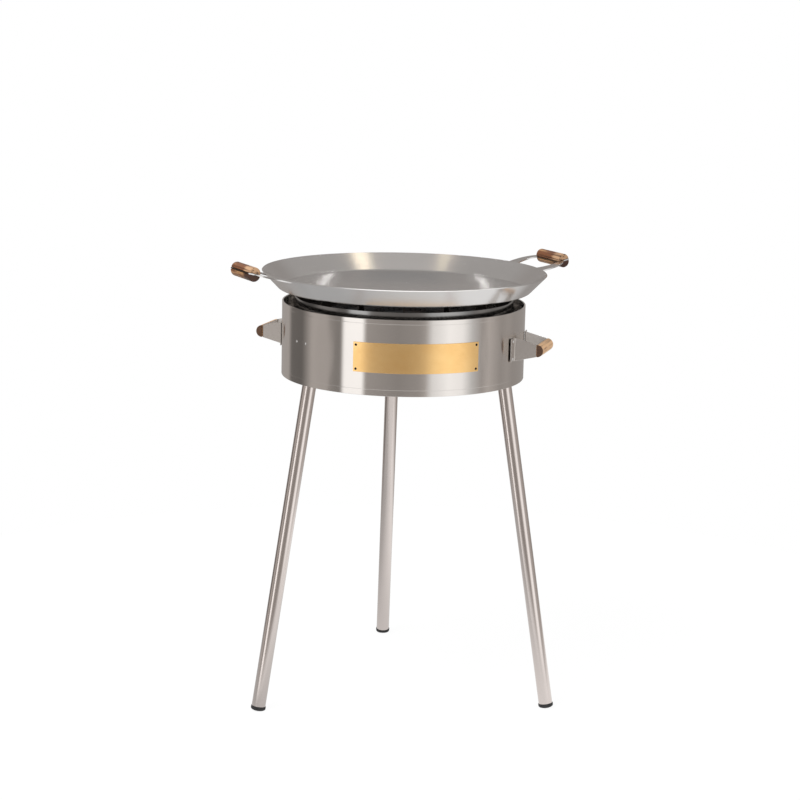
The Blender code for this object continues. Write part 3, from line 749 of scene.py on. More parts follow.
@made_once
def oiled_wood(name, node, group, kind):
    """Streaky hardwood of one kind, whose grain runs along a grip and whose near end has the painted light or
    painted shade of its kind.
    """
    material, tree, shader = new_material(name, kind.light, 0.4, 0.0)
    turn = bearing(node)
    place = object_place(tree, turn)
    patches = noise(tree, place, PATCHES, 2.0)
    rings = noise(tree, place, GRAIN, 5.0, 0.6)
    pores = noise(tree, place, PORES, 2.0)
    red = mapped(tree, patches, kind.red_below, kind.red_below + RED_FADE, 1.0, 0.0)
    tone = blended(tree, red, kind.light, group.red_wood)
    front = 1.0 if math.cos(turn) < 0 else -1.0
    limit = group.length / 2 * (1 - 2 * kind.end_share)
    fade = limit * kind.end_fade
    forward = maths(tree, "MULTIPLY", axes(tree, place)["Y"], front)
    wavy = maths(tree, "ADD", forward, mapped(tree, rings, 0.3, 0.7, -fade, fade))
    # Painted light or painted shade on the grip's near end, as its kind gives
    tone = blended(tree, mapped(tree, wavy, limit - fade, limit + fade), tone, kind.end)
    tone = blended(tree, mapped(tree, rings, 0.36, 0.52, kind.lines, 0.0), tone, group.dark_wood)
    set_inputs(tree, shader, {"Base Color": tone, "Roughness": mapped(tree, pores, 0.35, 0.7, 0.28, 0.44),
                              "Normal": relief(tree, pores, 0.08, 0.0002), "Specular IOR Level": 0.3,
                              "Coat Weight": 0.12, "Coat Roughness": 0.22})
    return material


def handle_steel(context):
    """Bright cut steel of the welds, the brackets and the shelf."""
    group = looks(context, "pan")
    return grained_metal("handle_steel_bright", group.steel, group.roughness, CUT)


def loop_steel(group, grip, side):
    """Bright cut steel of a looped handle, with painted shade, dark and brown, where it lies between the
    scales.
    """
    material = grained_metal(f"loop_steel_{side}", group.steel, group.roughness, CUT)
    tree = material.node_tree
    node = f"pan_grip_{side}_upper"
    place = axes(tree, object_place(tree, bearing(node)))
    # Painted shade on the steel between the scales, fading out towards the grip's ends
    outer = maths(tree, "GREATER_THAN", place["X"], (middle(node) - AXIS).xy.length - grip.radius)
    across = maths(tree, "ABSOLUTE", place["Y"])
    within = mapped(tree, across, grip.length * SCALE_SHADE_FULL, grip.length * SCALE_SHADE_END, 1.0, 0.0)
    base = tree.nodes["Principled BSDF"].inputs["Base Color"]
    between_scales_mask = maths(tree, "MULTIPLY", outer, within)
    tree.links.new(blended(tree, between_scales_mask, base.links[0].from_socket, grip.between_scales_shade), base)
    return material


def guard_steel(group):
    """Rolled sheet of the wind guard, with brush marks round it that blur it up and down but not sideways."""
    radius = half_width("housing_band") - group.sheet / 2
    material = grained_metal("guard_steel_brushed", group.steel, group.roughness, ROLLED,
                             inside=(radius, group.inside))
    tree = material.node_tree
    place = axes(tree, object_place(tree))
    inputs = {"X": maths(tree, "MULTIPLY", place["Y"], -1.0), "Y": place["X"]}
    round_axis = add_node(tree, "ShaderNodeCombineXYZ", inputs).outputs[0]
    set_inputs(tree, tree.nodes["Principled BSDF"],
               {"Tangent": round_axis, "Anisotropic": 1.0, "Anisotropic Rotation": 0.25})
    return material


def leg_steel(group):
    """Drawn tube of the legs and sockets."""
    return grained_metal("leg_steel_drawn", group.steel, group.roughness, DRAWN)


def fixing_steel(context):
    """Zinc-bright screws, rivets and stems."""
    group = looks(context, "pan")
    return grained_metal("fixing_steel_bright", group.steel, group.roughness, PLATED)


class PAELLA_OT_pan_bowl(bpy.types.Operator):
    """Build the pan's bowl"""

    bl_idname = "paella.pan_bowl"
    bl_label = "Pan Bowl"

    def execute(self, context):
        group = looks(context, "pan")
        low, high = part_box("pan_bowl")
        slope = group.wall_angle
        depth = high.z - low.z - group.sheet * math.cos(slope)
        knee = group.rim_radius - depth / math.tan(slope) - group.corner * math.tan(slope / 2)
        centre = (knee, group.corner)
        outside = arc(centre, group.corner, -math.pi / 2, slope - math.pi / 2, CORNER_STEPS)
        inside = arc(centre, group.corner - group.sheet, slope - math.pi / 2, -math.pi / 2, CORNER_STEPS)
        rim = (group.rim_radius, depth)
        lip = (rim[0] - group.sheet * math.sin(slope), depth + group.sheet * math.cos(slope))
        profile = [(0, 0), *outside, rim, lip, *inside, (0, group.sheet)]
        bm = soften(spun(profile, WIDE_STEPS, outward(0.0, 0.0, low.z)), group.edge)
        steel = grained_metal("pan_steel_turned", group.steel, group.roughness, TURNED, True)
        piece("bowl", bm, steel, "pan", ["pan_bowl"])
        return {"FINISHED"}


class PAELLA_OT_pan_handles(bpy.types.Operator):
    """Build the looped handle plates and their welds"""

    bl_idname = "paella.pan_handles"
    bl_label = "Pan Handles"

    def execute(self, context):
        group = looks(context, "pan")
        rim_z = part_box("pan_bowl")[1].z - group.sheet * math.cos(group.wall_angle)
        bead_turn = math.tau * (1 - 1 / BEAD_SIDES)
        bead = arc((group.rim_radius, -group.handle_plate / 2), group.weld, 0, bead_turn, BEAD_SIDES - 1)
        for side in SIDES:
            turn = bearing(f"pan_grip_{side}_upper")
            steel = loop_steel(group, looks(context, "grip"), side)
            rounded_node(f"handle_loop_{side}", f"pan_handle_{side}", group.edge, steel, "pan")
            places = [outward(turn + start, 0.0, rim_z) for start in (group.foot_near, -group.foot_far)]
            beads = [spun(bead, WELD_STEPS, place, group.foot_far - group.foot_near) for place in places]
            piece(f"handle_welds_{side}", joined(beads), handle_steel(context), "pan", ())
        return {"FINISHED"}


def half_round(group, place):
    """Half-round wooden grip along Y with its flat on the XY plane of a place."""
    bm = bmesh.new()
    bmesh.ops.create_circle(bm, cap_ends=True, segments=ROUND_STEPS, radius=group.radius)
    geom = bm.verts[:] + bm.edges[:] + bm.faces[:]
    bmesh.ops.bisect_plane(bm, geom=geom, plane_co=(0, 0, 0), plane_no=(0, 1, 0), clear_inner=True)
    swept = bmesh.ops.extrude_face_region(bm, geom=bm.faces[:])
    top = [item for item in swept["geom"] if isinstance(item, bmesh.types.BMVert)]
    bmesh.ops.translate(bm, verts=top, vec=(0, 0, group.length))
    bmesh.ops.translate(bm, verts=bm.verts, vec=(0, 0, -group.length / 2))
    bmesh.ops.recalc_face_normals(bm, faces=bm.faces)
    soften(bm, group.edge, GRIP_EDGE_STEPS)
    bmesh.ops.transform(bm, matrix=place @ Matrix.Rotation(math.pi / 2, 4, "X"), verts=bm.verts)
    return bm


class PAELLA_OT_pan_grips(bpy.types.Operator):
    """Build the wooden scales of the pan's handles"""

    bl_idname = "paella.pan_grips"
    bl_label = "Pan Grips"

    def execute(self, context):
        group, pan = looks(context, "grip"), looks(context, "pan")
        lift = Matrix.Translation((0, 0, pan.handle_plate / 2 + FIT))
        # Painted light on the top scales' near ends and painted shade on the lower scales' near ends
        top = Wood(light=group.light_wood, red_below=0.56, lines=0.9, end=group.lit_end, end_share=0.28,
                   end_fade=0.3)
        base = top._replace(red_below=0.36, end=group.shaded_end)
        drop = Matrix.Rotation(math.pi, 4, "Y") @ lift
        halves = (("upper", "top", top, lift), ("lower", "base", base, drop))
        for side in SIDES:
            upper, lower = f"pan_grip_{side}_upper", f"pan_grip_{side}_lower"
            centre = (middle(upper) + middle(lower)) / 2
            slope = Matrix.Rotation(bearing(upper), 4, "Z") @ Matrix.Rotation(-pan.handle_rise, 4, "Y")
            seat = Matrix.Translation(centre) @ slope
            for half, name, kind, place in halves:
                node = f"pan_grip_{side}_{half}"
                wood = oiled_wood(f"pan_wood_{side}_{half}", node, group, kind)
                piece(f"scale_{side}_{name}", half_round(group, seat @ place), wood, "pan", [node])
        return {"FINISHED"}


class PAELLA_OT_wind_guard(bpy.types.Operator):
    """Build the rolled wind guard with its hems and tube holes"""

    bl_idname = "paella.wind_guard"
    bl_label = "Wind Guard"

    def execute(self, context):
        group = looks(context, "guard")
        low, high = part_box("housing_band")
        outer = half_width("housing_band")
        inner = outer - group.sheet
        hem = inner - group.hem_sheet
        base_hem, top_hem = low.z + group.hem_base, high.z - group.hem_top
        profile = [(outer, low.z), *self.crease(outer, base_hem, group.crease),
                   *self.crease(outer, top_hem, group.crease), (outer, high.z), (hem, high.z),
                   (hem, top_hem), (inner, top_hem - group.hem_sheet), (inner, base_hem + group.hem_sheet),
                   (hem, base_hem), (hem, low.z)]
        bm = soften(spun(profile, WIDE_STEPS, outward(0.0)), group.crease)
        guard = piece("wind_guard", bm, guard_steel(group), "stand", ["housing_band"])
        for burner in BURNERS:
            self.cut_hole(guard, burner, group.tube_hole)
        shade(guard)
        return {"FINISHED"}

    def crease(self, radius, height, depth):
        """Shallow groove that a folded hem leaves on the outside."""
        spread = CREASE_SPREAD * depth
        return [(radius, height - spread), (radius - depth, height), (radius, height + spread)]

    def cut_hole(self, guard, burner, radius):
        """Cut the hole that a mixing tube passes through."""
        turn = joint(f"knob_{burner}_turn")
        place = along(turn["axis"], Vector(turn["pos_m"]) - Vector(turn["axis"]) * HOLE_BACK)
        cutter = made_object("tube_hole", bar(HOLE_STEPS, radius, HOLE_LENGTH, place))
        hole = guard.modifiers.new("tube_hole", "BOOLEAN")
        hole.operation = "DIFFERENCE"
        hole.object = cutter
        applied(guard, hole)
        bpy.data.objects.remove(cutter)


class PAELLA_OT_brass_plate(bpy.types.Operator):
    """Build the bare brass plate and its rivets"""

    bl_idname = "paella.brass_plate"
    bl_label = "Brass Plate"

    def execute(self, context):
        group = looks(context, "guard")
        brass = brass_finish("plate_brass_polished", group.brass, group.brass_roughness)
        # The plate's rivets take the heated steel, whose darkness is partly painted shade
        dark = heated_steel(context)
        rounded_node("front_plate", "brass_plate", FINE_EDGE, brass, "stand")
        low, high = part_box("brass_plate")
        corners = [corner - AXIS for corner in vertices("brass_plate")]
        radius = max(corner.xy.length for corner in corners)
        ends = [math.atan2(corner.x, -corner.y) for corner in corners]
        inset = group.plate_inset / radius
        heads = []
        for end in (min(ends) + inset, max(ends) - inset):
            for height in (low.z + group.plate_inset, high.z - group.plate_inset):
                place = facing_out(outward(end - math.pi / 2, radius - SINK, height))
                heads.append(dome_head(group.rivet * PLATE_RIVET, group.rivet * PLATE_RISE, place))
        piece("plate_rivets", joined(heads), dark, "stand", ())
        return {"FINISHED"}


class PAELLA_OT_stand_handles(bpy.types.Operator):
    """Build the bent strips of the stand's handles and their rivets"""

    bl_idname = "paella.stand_handles"
    bl_label = "Stand Handles"

    def execute(self, context):
        group = looks(context, "guard")
        steel = grained_metal("strip_steel_brushed", group.steel, group.strip_roughness, CUT,
                              metallic=group.strip_metallic)
        dull = grained_metal("strip_steel_dull", group.steel, group.dull_roughness, CUT,
                             metallic=group.dull_metallic)
        for side in SIDES:
            node = f"stand_handle_{side}"
            strip = rounded_node(f"handle_strip_{side}", node, STRIP_EDGE, steel, "stand")
            home = outward(bearing(f"stand_grip_{side}"), 0.0, middle(node).z)
            self.dull_inside(strip.data, dull, home.inverted())
            heads = [dome_head(group.rivet, group.rivet * RIVET_RISE, place)
                     for place in self.rivet_places(group, node, home)]
            piece(f"handle_rivets_{side}", joined(heads), fixing_steel(context), "stand", ())
        return {"FINISHED"}

    def dull_inside(self, mesh, dull, to_home):
        """Give the sides of a strip that face each other their dull finish."""
        mesh.materials.append(dull)
        for face in mesh.polygons:
            side = (to_home @ face.center).y
            across = (to_home.to_3x3() @ face.normal).y
            if side * across < 0 and abs(across) > STRIP_SIDE:
                face.material_index = 1

    def rivet_places(self, group, node, home):
        """Places on the outside of a strip's two flanges, with Z out of the flange."""
        corners = [home.inverted() @ corner for corner in vertices(node)]
        tip = max(corner.y for corner in corners)
        tip_face = max(corner.x for corner in corners if corner.y > tip - group.rivet / 2)
        half = group.flange / 2
        lean = math.atan2(tip - half, tip_face) - group.flange_lift
        for sign in (-1, 1):
            spot = (tip_face + half * math.sin(lean), sign * (tip - half * math.cos(lean)))
            turn = Matrix.Rotation(sign * lean, 4, "Z")
            for rise in (-group.rivet_rise, group.rivet_rise):
                yield facing_out(home @ Matrix.Translation((*spot, rise)) @ turn)


class PAELLA_OT_stand_grips(bpy.types.Operator):
    """Build the wooden grips of the stand's handles"""

    bl_idname = "paella.stand_grips"
    bl_label = "Stand Grips"

    def execute(self, context):
        group = looks(context, "grip")
        # Painted light: the stand grips' wood is a paler, lit copy of the pan grips' wood
        # Painted shade on the stand grips' near end faces
        kind = Wood(light=group.stand_wood, red_below=0.24, lines=0.40, end=group.stand_shaded_end, end_share=0.018,
                    end_fade=0.015)
        for side in SIDES:
            node = f"stand_grip_{side}"
            centre = middle(node)
            flat = (centre - AXIS).xy.length - group.radius / 2
            place = facing_out(outward(bearing(node), flat, centre.z))
            wood = oiled_wood(f"stand_wood_{side}", node, group, kind)
            piece(f"stand_scale_{side}", half_round(group, place), wood, "stand", [node])
        return {"FINISHED"}


class PAELLA_OT_pan_support(bpy.types.Operator):
    """Build the ring and the fins under the pan"""

    bl_idname = "paella.pan_support"
    bl_label = "Pan Support"

    def execute(self, context):
        group = looks(context, "burner")
        low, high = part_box("support_ring")
        outer = half_width("support_ring")
        inner = outer - group.ring_sheet
        # The ring's inside takes a sooty colour with painted shade
        satin = grained_metal("ring_steel_satin", group.ring_steel, group.ring_roughness, ROLLED,
                              inside=((outer + inner) / 2, group.soot_and_shade))
        profile = [(outer, low.z), (outer, high.z), (inner, high.z), (inner, low.z)]
        bm = soften(spun(profile, RING_STEPS, outward(0.0)), group.edge)
        piece("rest_ring", bm, satin, "stand", ["support_ring"])
        # The fins take the heated steel with its painted shade, for the dark gap under the pan
        fins = sorted(node for node in frame["nodes"] if node.startswith("pan_fin_"))
        bm = joined([cad_copy(node, FINE_EDGE) for node in fins])
        piece("rest_fins", bm, heated_steel(context), "stand", fins)
        return {"FINISHED"}


class PAELLA_OT_burner(bpy.types.Operator):
    """Build the burner arms, the burner rings with their ports and the mixing tubes"""

    bl_idname = "paella.burner"
    bl_label = "Burner"

    def execute(self, context):
        group = looks(context, "burner")
        steel = heated_steel(context)
        iron = cast_iron_finish("burner_iron_cast", group.cast_iron)
        arms = [f"burner_arm_{leg}" for leg in LEGS]
        bm = joined([cad_copy(node, group.edge) for node in arms])
        piece("burner_arms", bm, steel, "stand", arms)
        for burner, steps in PORT_STEPS.items():
            node = f"burner_ring_{burner}"
            bm = self.ported_ring(group, node, steps)
            piece(f"{burner}_burner", bm, iron, "stand", [node])
            rounded_node(f"{burner}_mixer", f"mixer_tube_{burner}", group.edge, steel, "stand")
        return {"FINISHED"}

    def ported_ring(self, group, node, steps):
        """Burner ring with a flame port in every other step of its two sloping shoulders."""
        low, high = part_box(node)
        radius = half_width(node) - group.tube_width / 2
        wide, crown = group.tube_width / 2, group.crown_width / 2
        shoulder = high.z - group.shoulder
        profile = [(radius + wide, low.z), (radius + wide, shoulder), (radius + crown, high.z),
                   (radius - crown, high.z), (radius - wide, shoulder), (radius - wide, low.z)]
        bm = spun(profile, steps, outward(0.0))
        slopes = [face for face in bm.faces if LEAST_SLOPE < face.normal.z < MOST_SLOPE]
        ports = [face for face in slopes if self.step(face, steps) % 2 == 0]
        bmesh.ops.inset_individual(bm, faces=ports, thickness=group.port * PORT_INSET, depth=0.0)
        bmesh.ops.inset_individual(bm, faces=ports, thickness=PORT_TAPER, depth=-group.port)
        return bm

    def step(self, face, steps):
        """Number of a ring's step that a face lies in."""
        place = face.calc_center_median() - AXIS
        return int((math.atan2(place.y, place.x) % math.tau) / math.tau * steps)


class PAELLA_OT_gas_line(bpy.types.Operator):
    """Build the valves, the manifold, its hose tail and the shelf"""

    bl_idname = "paella.gas_line"
    bl_label = "Gas Line"

    def execute(self, context):
        group = looks(context, "burner")
        brass = brass_finish("fitting_brass_machined", group.brass, group.brass_roughness)
        out = Vector(joint("knob_outer_turn")["axis"])
        across = Vector((-out.y, out.x, 0))
        for burner in BURNERS:
            node = f"valve_body_{burner}"
            rounded_node(f"{burner}_valve", node, group.edge, brass, "stand")
            point = Vector(joint(f"knob_{burner}_turn")["pos_m"])
            nut = bar(NUT_SIDES, *NUT, along(out, point - out * NUT_BACK))
            piece(f"{burner}_gland_nut", soften(nut, group.edge), brass, "stand", ())
        rounded_node("manifold_pipe", "gas_manifold", group.edge, brass, "stand")
        cap = bar(NUT_SIDES, *CAP, along(-across, middle("gas_manifold") - across * CAP_REACH))
        piece("manifold_cap", soften(cap, group.edge), brass, "stand", ())
        rounded_node("hose_tail", "gas_inlet", RIB_EDGE, brass, "stand")
        steel = handle_steel(context)
        rounded_node("pipe_shelf", "manifold_shelf", group.edge, steel, "stand")
        place = outward(bearing("manifold_shelf"), half_width("housing_band") + SHELF_OUT,
                        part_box("manifold_shelf")[0].z + SHELF_RISE)
        places = [place @ Matrix.Translation((0, side, 0)) for side in (-SCREW_SIDE, SCREW_SIDE)]
        radius = looks(context, "guard").screw
        screws = [socket_screw(radius, radius * SOCKET_RISE, facing_out(spot)) for spot in places]
        piece("shelf_screws", joined(screws), fixing_steel(context), "stand", ())
        return {"FINISHED"}


class PAELLA_OT_knobs(bpy.types.Operator):
    """Build the valve knobs with their stems and pointer lines"""

    bl_idname = "paella.knobs"
    bl_label = "Knobs"

    def execute(self, context):
        group = looks(context, "burner")
        black = moulded_black("knob_black_moulded", group.black, group.knob_roughness)
        paint = painted_mark("knob_mark_painted", group.mark)
        steel = fixing_steel(context)
        for burner in BURNERS:
            body, knob = f"valve_knob_{burner}", f"knob_{burner}"
            rounded_node(f"{burner}_knob", knob, group.edge, black, body)
            rounded_node(f"{burner}_stem", f"valve_stem_{burner}", FINE_EDGE, steel, body)
            turn = joint(f"knob_{burner}_turn")
            out, point = Vector(turn["axis"]), Vector(turn["pos_m"])
            tip = span(knob, along(out, point))[1]
            face = Matrix.Translation(point + out * tip) @ Matrix.Rotation(math.atan2(out.y, out.x), 4, "Z")
            line = bmesh.new()
            bmesh.ops.create_cube(line, size=1.0)
            shape = Matrix.Translation((0.0, 0.0, POINTER_RISE)) @ Matrix.Diagonal((*POINTER_SIZE, 1.0))
            bmesh.ops.transform(line, matrix=face @ shape, verts=line.verts)
            piece(f"{burner}_pointer", line, paint, body, ())
        return {"FINISHED"}


def leg_place(leg):
    """Matrix at the middle of a leg's tube with Z up the leg and X outward."""
    up = -Vector(joint(f"leg_{leg}_pull")["axis"])
    side = Vector((-up.y, up.x, 0)).normalized()
    out = side.cross(up)
    turn = Matrix((out, side, up)).transposed().to_4x4()
    return Matrix.Translation(middle(f"leg_tube_{leg}")) @ turn


class PAELLA_OT_leg_mounts(bpy.types.Operator):
    """Build the leg brackets, their screws and the leg sockets"""

    bl_idname = "paella.leg_mounts"
    bl_label = "Leg Mounts"

    def execute(self, context):
        group, screw = looks(context, "leg"), looks(context, "guard").screw
        wall = half_width("housing_band")
        lean = math.asin(SCREW_SIDE / wall)
        outer = group.socket_bore + group.socket_wall
        for leg in LEGS:
            bracket, socket = f"leg_bracket_{leg}", f"leg_socket_{leg}"
            rounded_node(f"bracket_{leg}", bracket, LEG_EDGE, handle_steel(context), "stand")
            place = leg_place(leg)
            mouth, top = span(socket, place)
            roof = top - group.socket_cap
            profile = [(0, roof), (group.socket_bore, roof), (group.socket_bore, mouth), (outer, mouth),
                       (outer, top), (0, top)]
            bm = soften(spun(profile, SOCKET_STEPS, place), LEG_EDGE)
            piece(f"socket_{leg}", bm, leg_steel(group), "stand", [socket])
            height = middle(bracket).z + BRACKET_RISE
            places = [outward(bearing(bracket) + turn, wall - SINK, height) for turn in (-lean, lean)]
            screws = [dome_head(screw, screw * DOME_RISE, facing_out(spot)) for spot in places]
            piece(f"bracket_screws_{leg}", joined(screws), fixing_steel(context), "stand", ())
        return {"FINISHED"}


class PAELLA_OT_legs(bpy.types.Operator):
    """Build the tube legs and their feet"""

    bl_idname = "paella.legs"
    bl_label = "Legs"

    def execute(self, context):
        group = looks(context, "leg")
        rubber = moulded_black("foot_rubber_moulded", looks(context, "burner").black, group.foot_roughness)
        bore = group.tube_radius - group.tube_wall
        for leg in LEGS:
            body, tube = f"leg_{leg}", f"leg_tube_{leg}"
            place = leg_place(leg)
            low, high = span(tube, place)
            profile = [(group.tube_radius, low), (group.tube_radius, high), (bore, high), (bore, low)]
            bm = soften(spun(profile, ROUND_STEPS, place), STRIP_EDGE)
            piece(f"leg_{leg}", bm, leg_steel(group), body, [tube])
            bm = self.foot(group, place, low - FIT)
            piece(f"leg_foot_{leg}", bm, rubber, body, [f"foot_{leg}"])
        return {"FINISHED"}

    def foot(self, group, place, shoulder):
        """Domed foot with a plug in the tube, cut flat where it stands on the floor."""
        base = shoulder - group.foot_collar
        plug = group.tube_radius - group.tube_wall - FIT
        turns = [math.pi / 2 * i / FOOT_STEPS for i in range(FOOT_STEPS + 1)]
        low = base - group.foot_sink
        dome = [(group.foot_radius * math.sin(a), low + group.foot_dome * (1 - math.cos(a))) for a in turns]
        profile = [*dome, (group.foot_radius, shoulder), (plug, shoulder), (plug, shoulder + group.foot_plug),
                   (0, shoulder + group.foot_plug)]
        bm = soften(spun(profile, SOCKET_STEPS, place), LEG_EDGE)
        geom = bm.verts[:] + bm.edges[:] + bm.faces[:]
        bmesh.ops.bisect_plane(bm, geom=geom, plane_co=(0, 0, 0), plane_no=(0, 0, 1), clear_inner=True)
        bmesh.ops.holes_fill(bm, edges=[edge for edge in bm.edges if edge.is_boundary])
        bmesh.ops.recalc_face_normals(bm, faces=bm.faces)
        return bm


# Panels round the stand: bearing from the camera's side in degrees, and brightness
PANELS = ((-180, 0.33), (-150, 0.38), (-132, 0.41), (-125, 0.16), (-105, 0.15), (-99, 0.27), (-91, 0.46),
          (-75, 0.48), (-69, 0.28), (-57, 0.24), (-54, 1.28), (-36.5, 1.31), (-33, 0.37), (-4, 0.28),
          (14, 0.33), (20, 0.42), (26.5, 0.91), (42, 1.20), (55, 1.10), (65, 0.62), (76, 0.37), (84, 0.50),
          (101, 0.34), (112, 0.38), (122, 0.33), (150, 0.34))

# Panels darker than a level take the warm tint of the room behind them
SHADE_BELOW = 0.6
WARM_SHADE = (1.05, 0.985, 0.94)
WARM_CEILING = (1.0, 0.965, 0.935)
WARM_LAMP = (1.0, 0.88, 0.70)

# Lit faces overhead: place towards the camera and to the right of the stand's axis, turn in degrees, depth
# away from the camera, width, tint and brightness
Face = collections.namedtuple("Face", "name forward side turn depth width tint strength")
FACES = (Face("lamp_left", -0.19, -0.42, 0, 0.133, 0.133, WARM_LAMP, 1.75),
         Face("strip_left", -1.07, -0.64, 0, 0.06, 0.14, PLAIN, 11.0),
         Face("lamp_right", -0.19, 0.49, 0, 0.19, 0.19, WARM_LAMP, 2.5),
         Face("strip_right", -1.07, 0.64, 0, 0.06, 0.14, PLAIN, 11.0),
         Face("dark_flag", -0.52, 0.0, 0, 0.42, 0.62, PLAIN, 0.36),
         Face("front_ceiling", 0.75, 0.0, 0, 1.0, 2.4, PLAIN, 1.7),
         Face("rim_ceiling", -0.185, 1.19, -38, 1.10, 0.28, PLAIN, 1.7))

# Cards at the stand's handles: a spot on the near plate, the direction in which that plate shows the card,
# its distance from the spot and its width
Card = collections.namedtuple("Card", "name spot view reach width")
CARDS = (Card("card_left", (-0.265, 0.028, 0.735), (-0.733, -0.658, -0.17), 0.40, 0.19),
         Card("card_right", (0.231, -0.175, 0.735), (0.454, -0.891, -0.167), 0.10, 0.05))
CARD_LEVEL = 0.44

# Share of the panels' height from which they fade into the ceiling, height below which the floor is seen, and
# the far end of the fade in front as a share of its near end
FADE_FROM = 0.75
FLOOR_TOP = 0.01
FRONT_FADE = 1.2


class PAELLA_OT_studio(bpy.types.Operator):
    """Set the floor, the surround, the panels, the lit faces, the lamp and the camera"""

    bl_idname = "paella.studio"
    bl_label = "Studio"

    def execute(self, context):
        group = looks(context, "studio")
        context.scene.view_settings.view_transform = "Standard"
        self.add_floor(group)
        self.set_surround(context, group)
        self.add_panels(group)
        self.add_faces(group)
        self.add_soft_lamp(group)
        self.add_camera(context, group)
        return {"FINISHED"}

    def stage_piece(self, name, bm, material):
        """Make a piece of the stage from a shape."""
        obj = made_object(name, bm)
        obj.data.materials.append(material)
        return obj

    def either(self, tree, factor, first, second, output):
        """Show the first of two shaders, and the second by a factor."""
        inputs = {"Fac": factor, 1: first.outputs[0], 2: second.outputs[0]}
        mix = add_node(tree, "ShaderNodeMixShader", inputs)
        set_inputs(tree, tree.nodes[output], {"Surface": mix.outputs[0]})

    def plain_view(self, tree):
        """One for rays from the camera and for rays that metal or glass sends on, and nothing for others."""
        rays = add_node(tree, "ShaderNodeLightPath").outputs
        mirror = maths(tree, "MAXIMUM", rays["Is Glossy Ray"], rays["Is Transmission Ray"])
        return maths(tree, "MAXIMUM", rays["Is Camera Ray"], mirror)

    def add_floor(self, group):
        """Pale round floor that keeps the object's shadow."""
        bm = bmesh.new()
        bmesh.ops.create_circle(bm, cap_ends=True, segments=FLOOR_STEPS, radius=group.floor_radius)
        bmesh.ops.translate(bm, verts=bm.verts, vec=(AXIS.x, AXIS.y, -FLOOR_DROP))
        material, tree, shader = new_material("floor_pale", group.floor, 0.9, 0.0)
        glow = add_node(tree, "ShaderNodeEmission", {"Strength": group.floor_white})
        seen = maths(tree, "MULTIPLY", self.plain_view(tree), group.floor_glow)
        self.either(tree, seen, shader, glow, "Material Output")
        self.stage_piece("studio_floor", bm, material)

    def set_surround(self, context, group):
        """White round the camera's and the mirror rays' view, and one pale level for all other light."""
        world = bpy.data.worlds.new("studio_surround")
        world.use_nodes = True
        context.scene.world = world
        tree = world.node_tree
        around = tree.nodes["Background"]
        set_inputs(tree, around, {"Color": (*shaded(PLAIN, group.surround), 1.0)})
        white = add_node(tree, "ShaderNodeBackground", {"Color": (*PLAIN, 1.0)})
        self.either(tree, self.plain_view(tree), around, white, "World Output")

    def add_panels(self, group):
        """Ring of studio panels with a low ceiling, which only the metal shows."""
        reach, top = group.panel_reach, group.panel_height
        profile = [(0, -GROUND_DROP), (reach, -GROUND_DROP), (reach, top), (0, top)]
        tree, glow = self.only_for_metal("studio_panels", spun(profile, PANEL_STEPS, outward(0.0)))
        forward, side, height = axes(tree, object_place(tree, group.camera_turn))
        radius = axes(tree, ring_place(tree))["X"]
        turn = mapped(tree, maths(tree, "ARCTAN2", side, forward), -math.pi, math.pi)
        panels = add_node(tree, "ShaderNodeValToRGB", {"Fac": turn})
        self.set_panels(panels.color_ramp)
        away = mapped(tree, radius, group.ceiling_middle, group.ceiling_middle + group.ceiling_fade)
        ceiling = blended(tree, away, shaded(WARM_CEILING, group.ceiling),
                          shaded(WARM_CEILING, group.ceiling_edge))
        lit = blended(tree, mapped(tree, height, top * FADE_FROM, top), panels.outputs["Color"], ceiling)
        near = mapped(tree, radius, group.near_floor * 2, group.near_floor)
        under = maths(tree, "MULTIPLY", near, maths(tree, "LESS_THAN", height, FLOOR_TOP))
        ground = mapped(tree, side, -group.floor_side, group.floor_side, group.floor_left, group.floor_right)
        in_front = mapped(tree, forward, group.front_floor, group.front_floor * FRONT_FADE)
        ground = blended(tree, in_front, ground, shaded(PLAIN, group.floor_level))
        set_inputs(tree, glow, {"Color": blended(tree, under, lit, ground)})

    def set_panels(self, ramp):
        """Set the ramp's stops from the panels, in order round the stand."""
        stops = [((turn + 180.0) / 360.0, grey) for turn, grey in PANELS]
        ramp.elements[-1].position = stops[-1][0]
        for stop in stops[1:-1]:
            ramp.elements.new(stop[0])
        for element, (place, grey) in zip(ramp.elements, stops):
            element.position = place
            tint = WARM_SHADE if grey < SHADE_BELOW else PLAIN
            element.color = (*(grey * part for part in tint), 1.0)

    def only_for_metal(self, name, bm):
        """Stage piece with its own light, seen by mirror rays and by nothing else, and its tree and glow."""
        material, tree = new_material(name, (0.0, 0.0, 0.0), 1.0, 0.0)[:2]
        material.cycles.emission_sampling = "NONE"
        glow = add_node(tree, "ShaderNodeEmission")
        set_inputs(tree, tree.nodes["Material Output"], {"Surface": glow.outputs[0]})
        obj = self.stage_piece(name, bm, material)
        for rays in ("camera", "diffuse", "shadow", "volume_scatter"):
            setattr(obj, f"visible_{rays}", False)
        return tree, glow

    def add_faces(self, group):
        """Lit faces overhead and cards at the handles, which only the metal shows."""
        view = outward(group.camera_turn)
        for face in FACES:
            place = view @ Matrix.Translation((face.forward, face.side, group.lamp_height))
            place = place @ Matrix.Rotation(math.radians(face.turn), 4, "Z")
            self.add_face(face.name, place, face.depth, face.width, face.tint, face.strength)
        for card in CARDS:
            place = along(card.view, Vector(card.spot) + Vector(card.view).normalized() * card.reach)
            self.add_face(card.name, place, card.width, card.width, WARM_SHADE, CARD_LEVEL)

    def add_face(self, name, place, depth, width, tint, strength):
        """Lit rectangle that only the metal shows."""
        bm = bmesh.new()
        bmesh.ops.create_grid(bm, x_segments=1, y_segments=1, size=0.5,
                              matrix=place @ Matrix.Diagonal((depth, width, 1.0, 1.0)))
        tree, glow = self.only_for_metal(name, bm)
        set_inputs(tree, glow, {"Color": (*tint, 1.0), "Strength": strength})

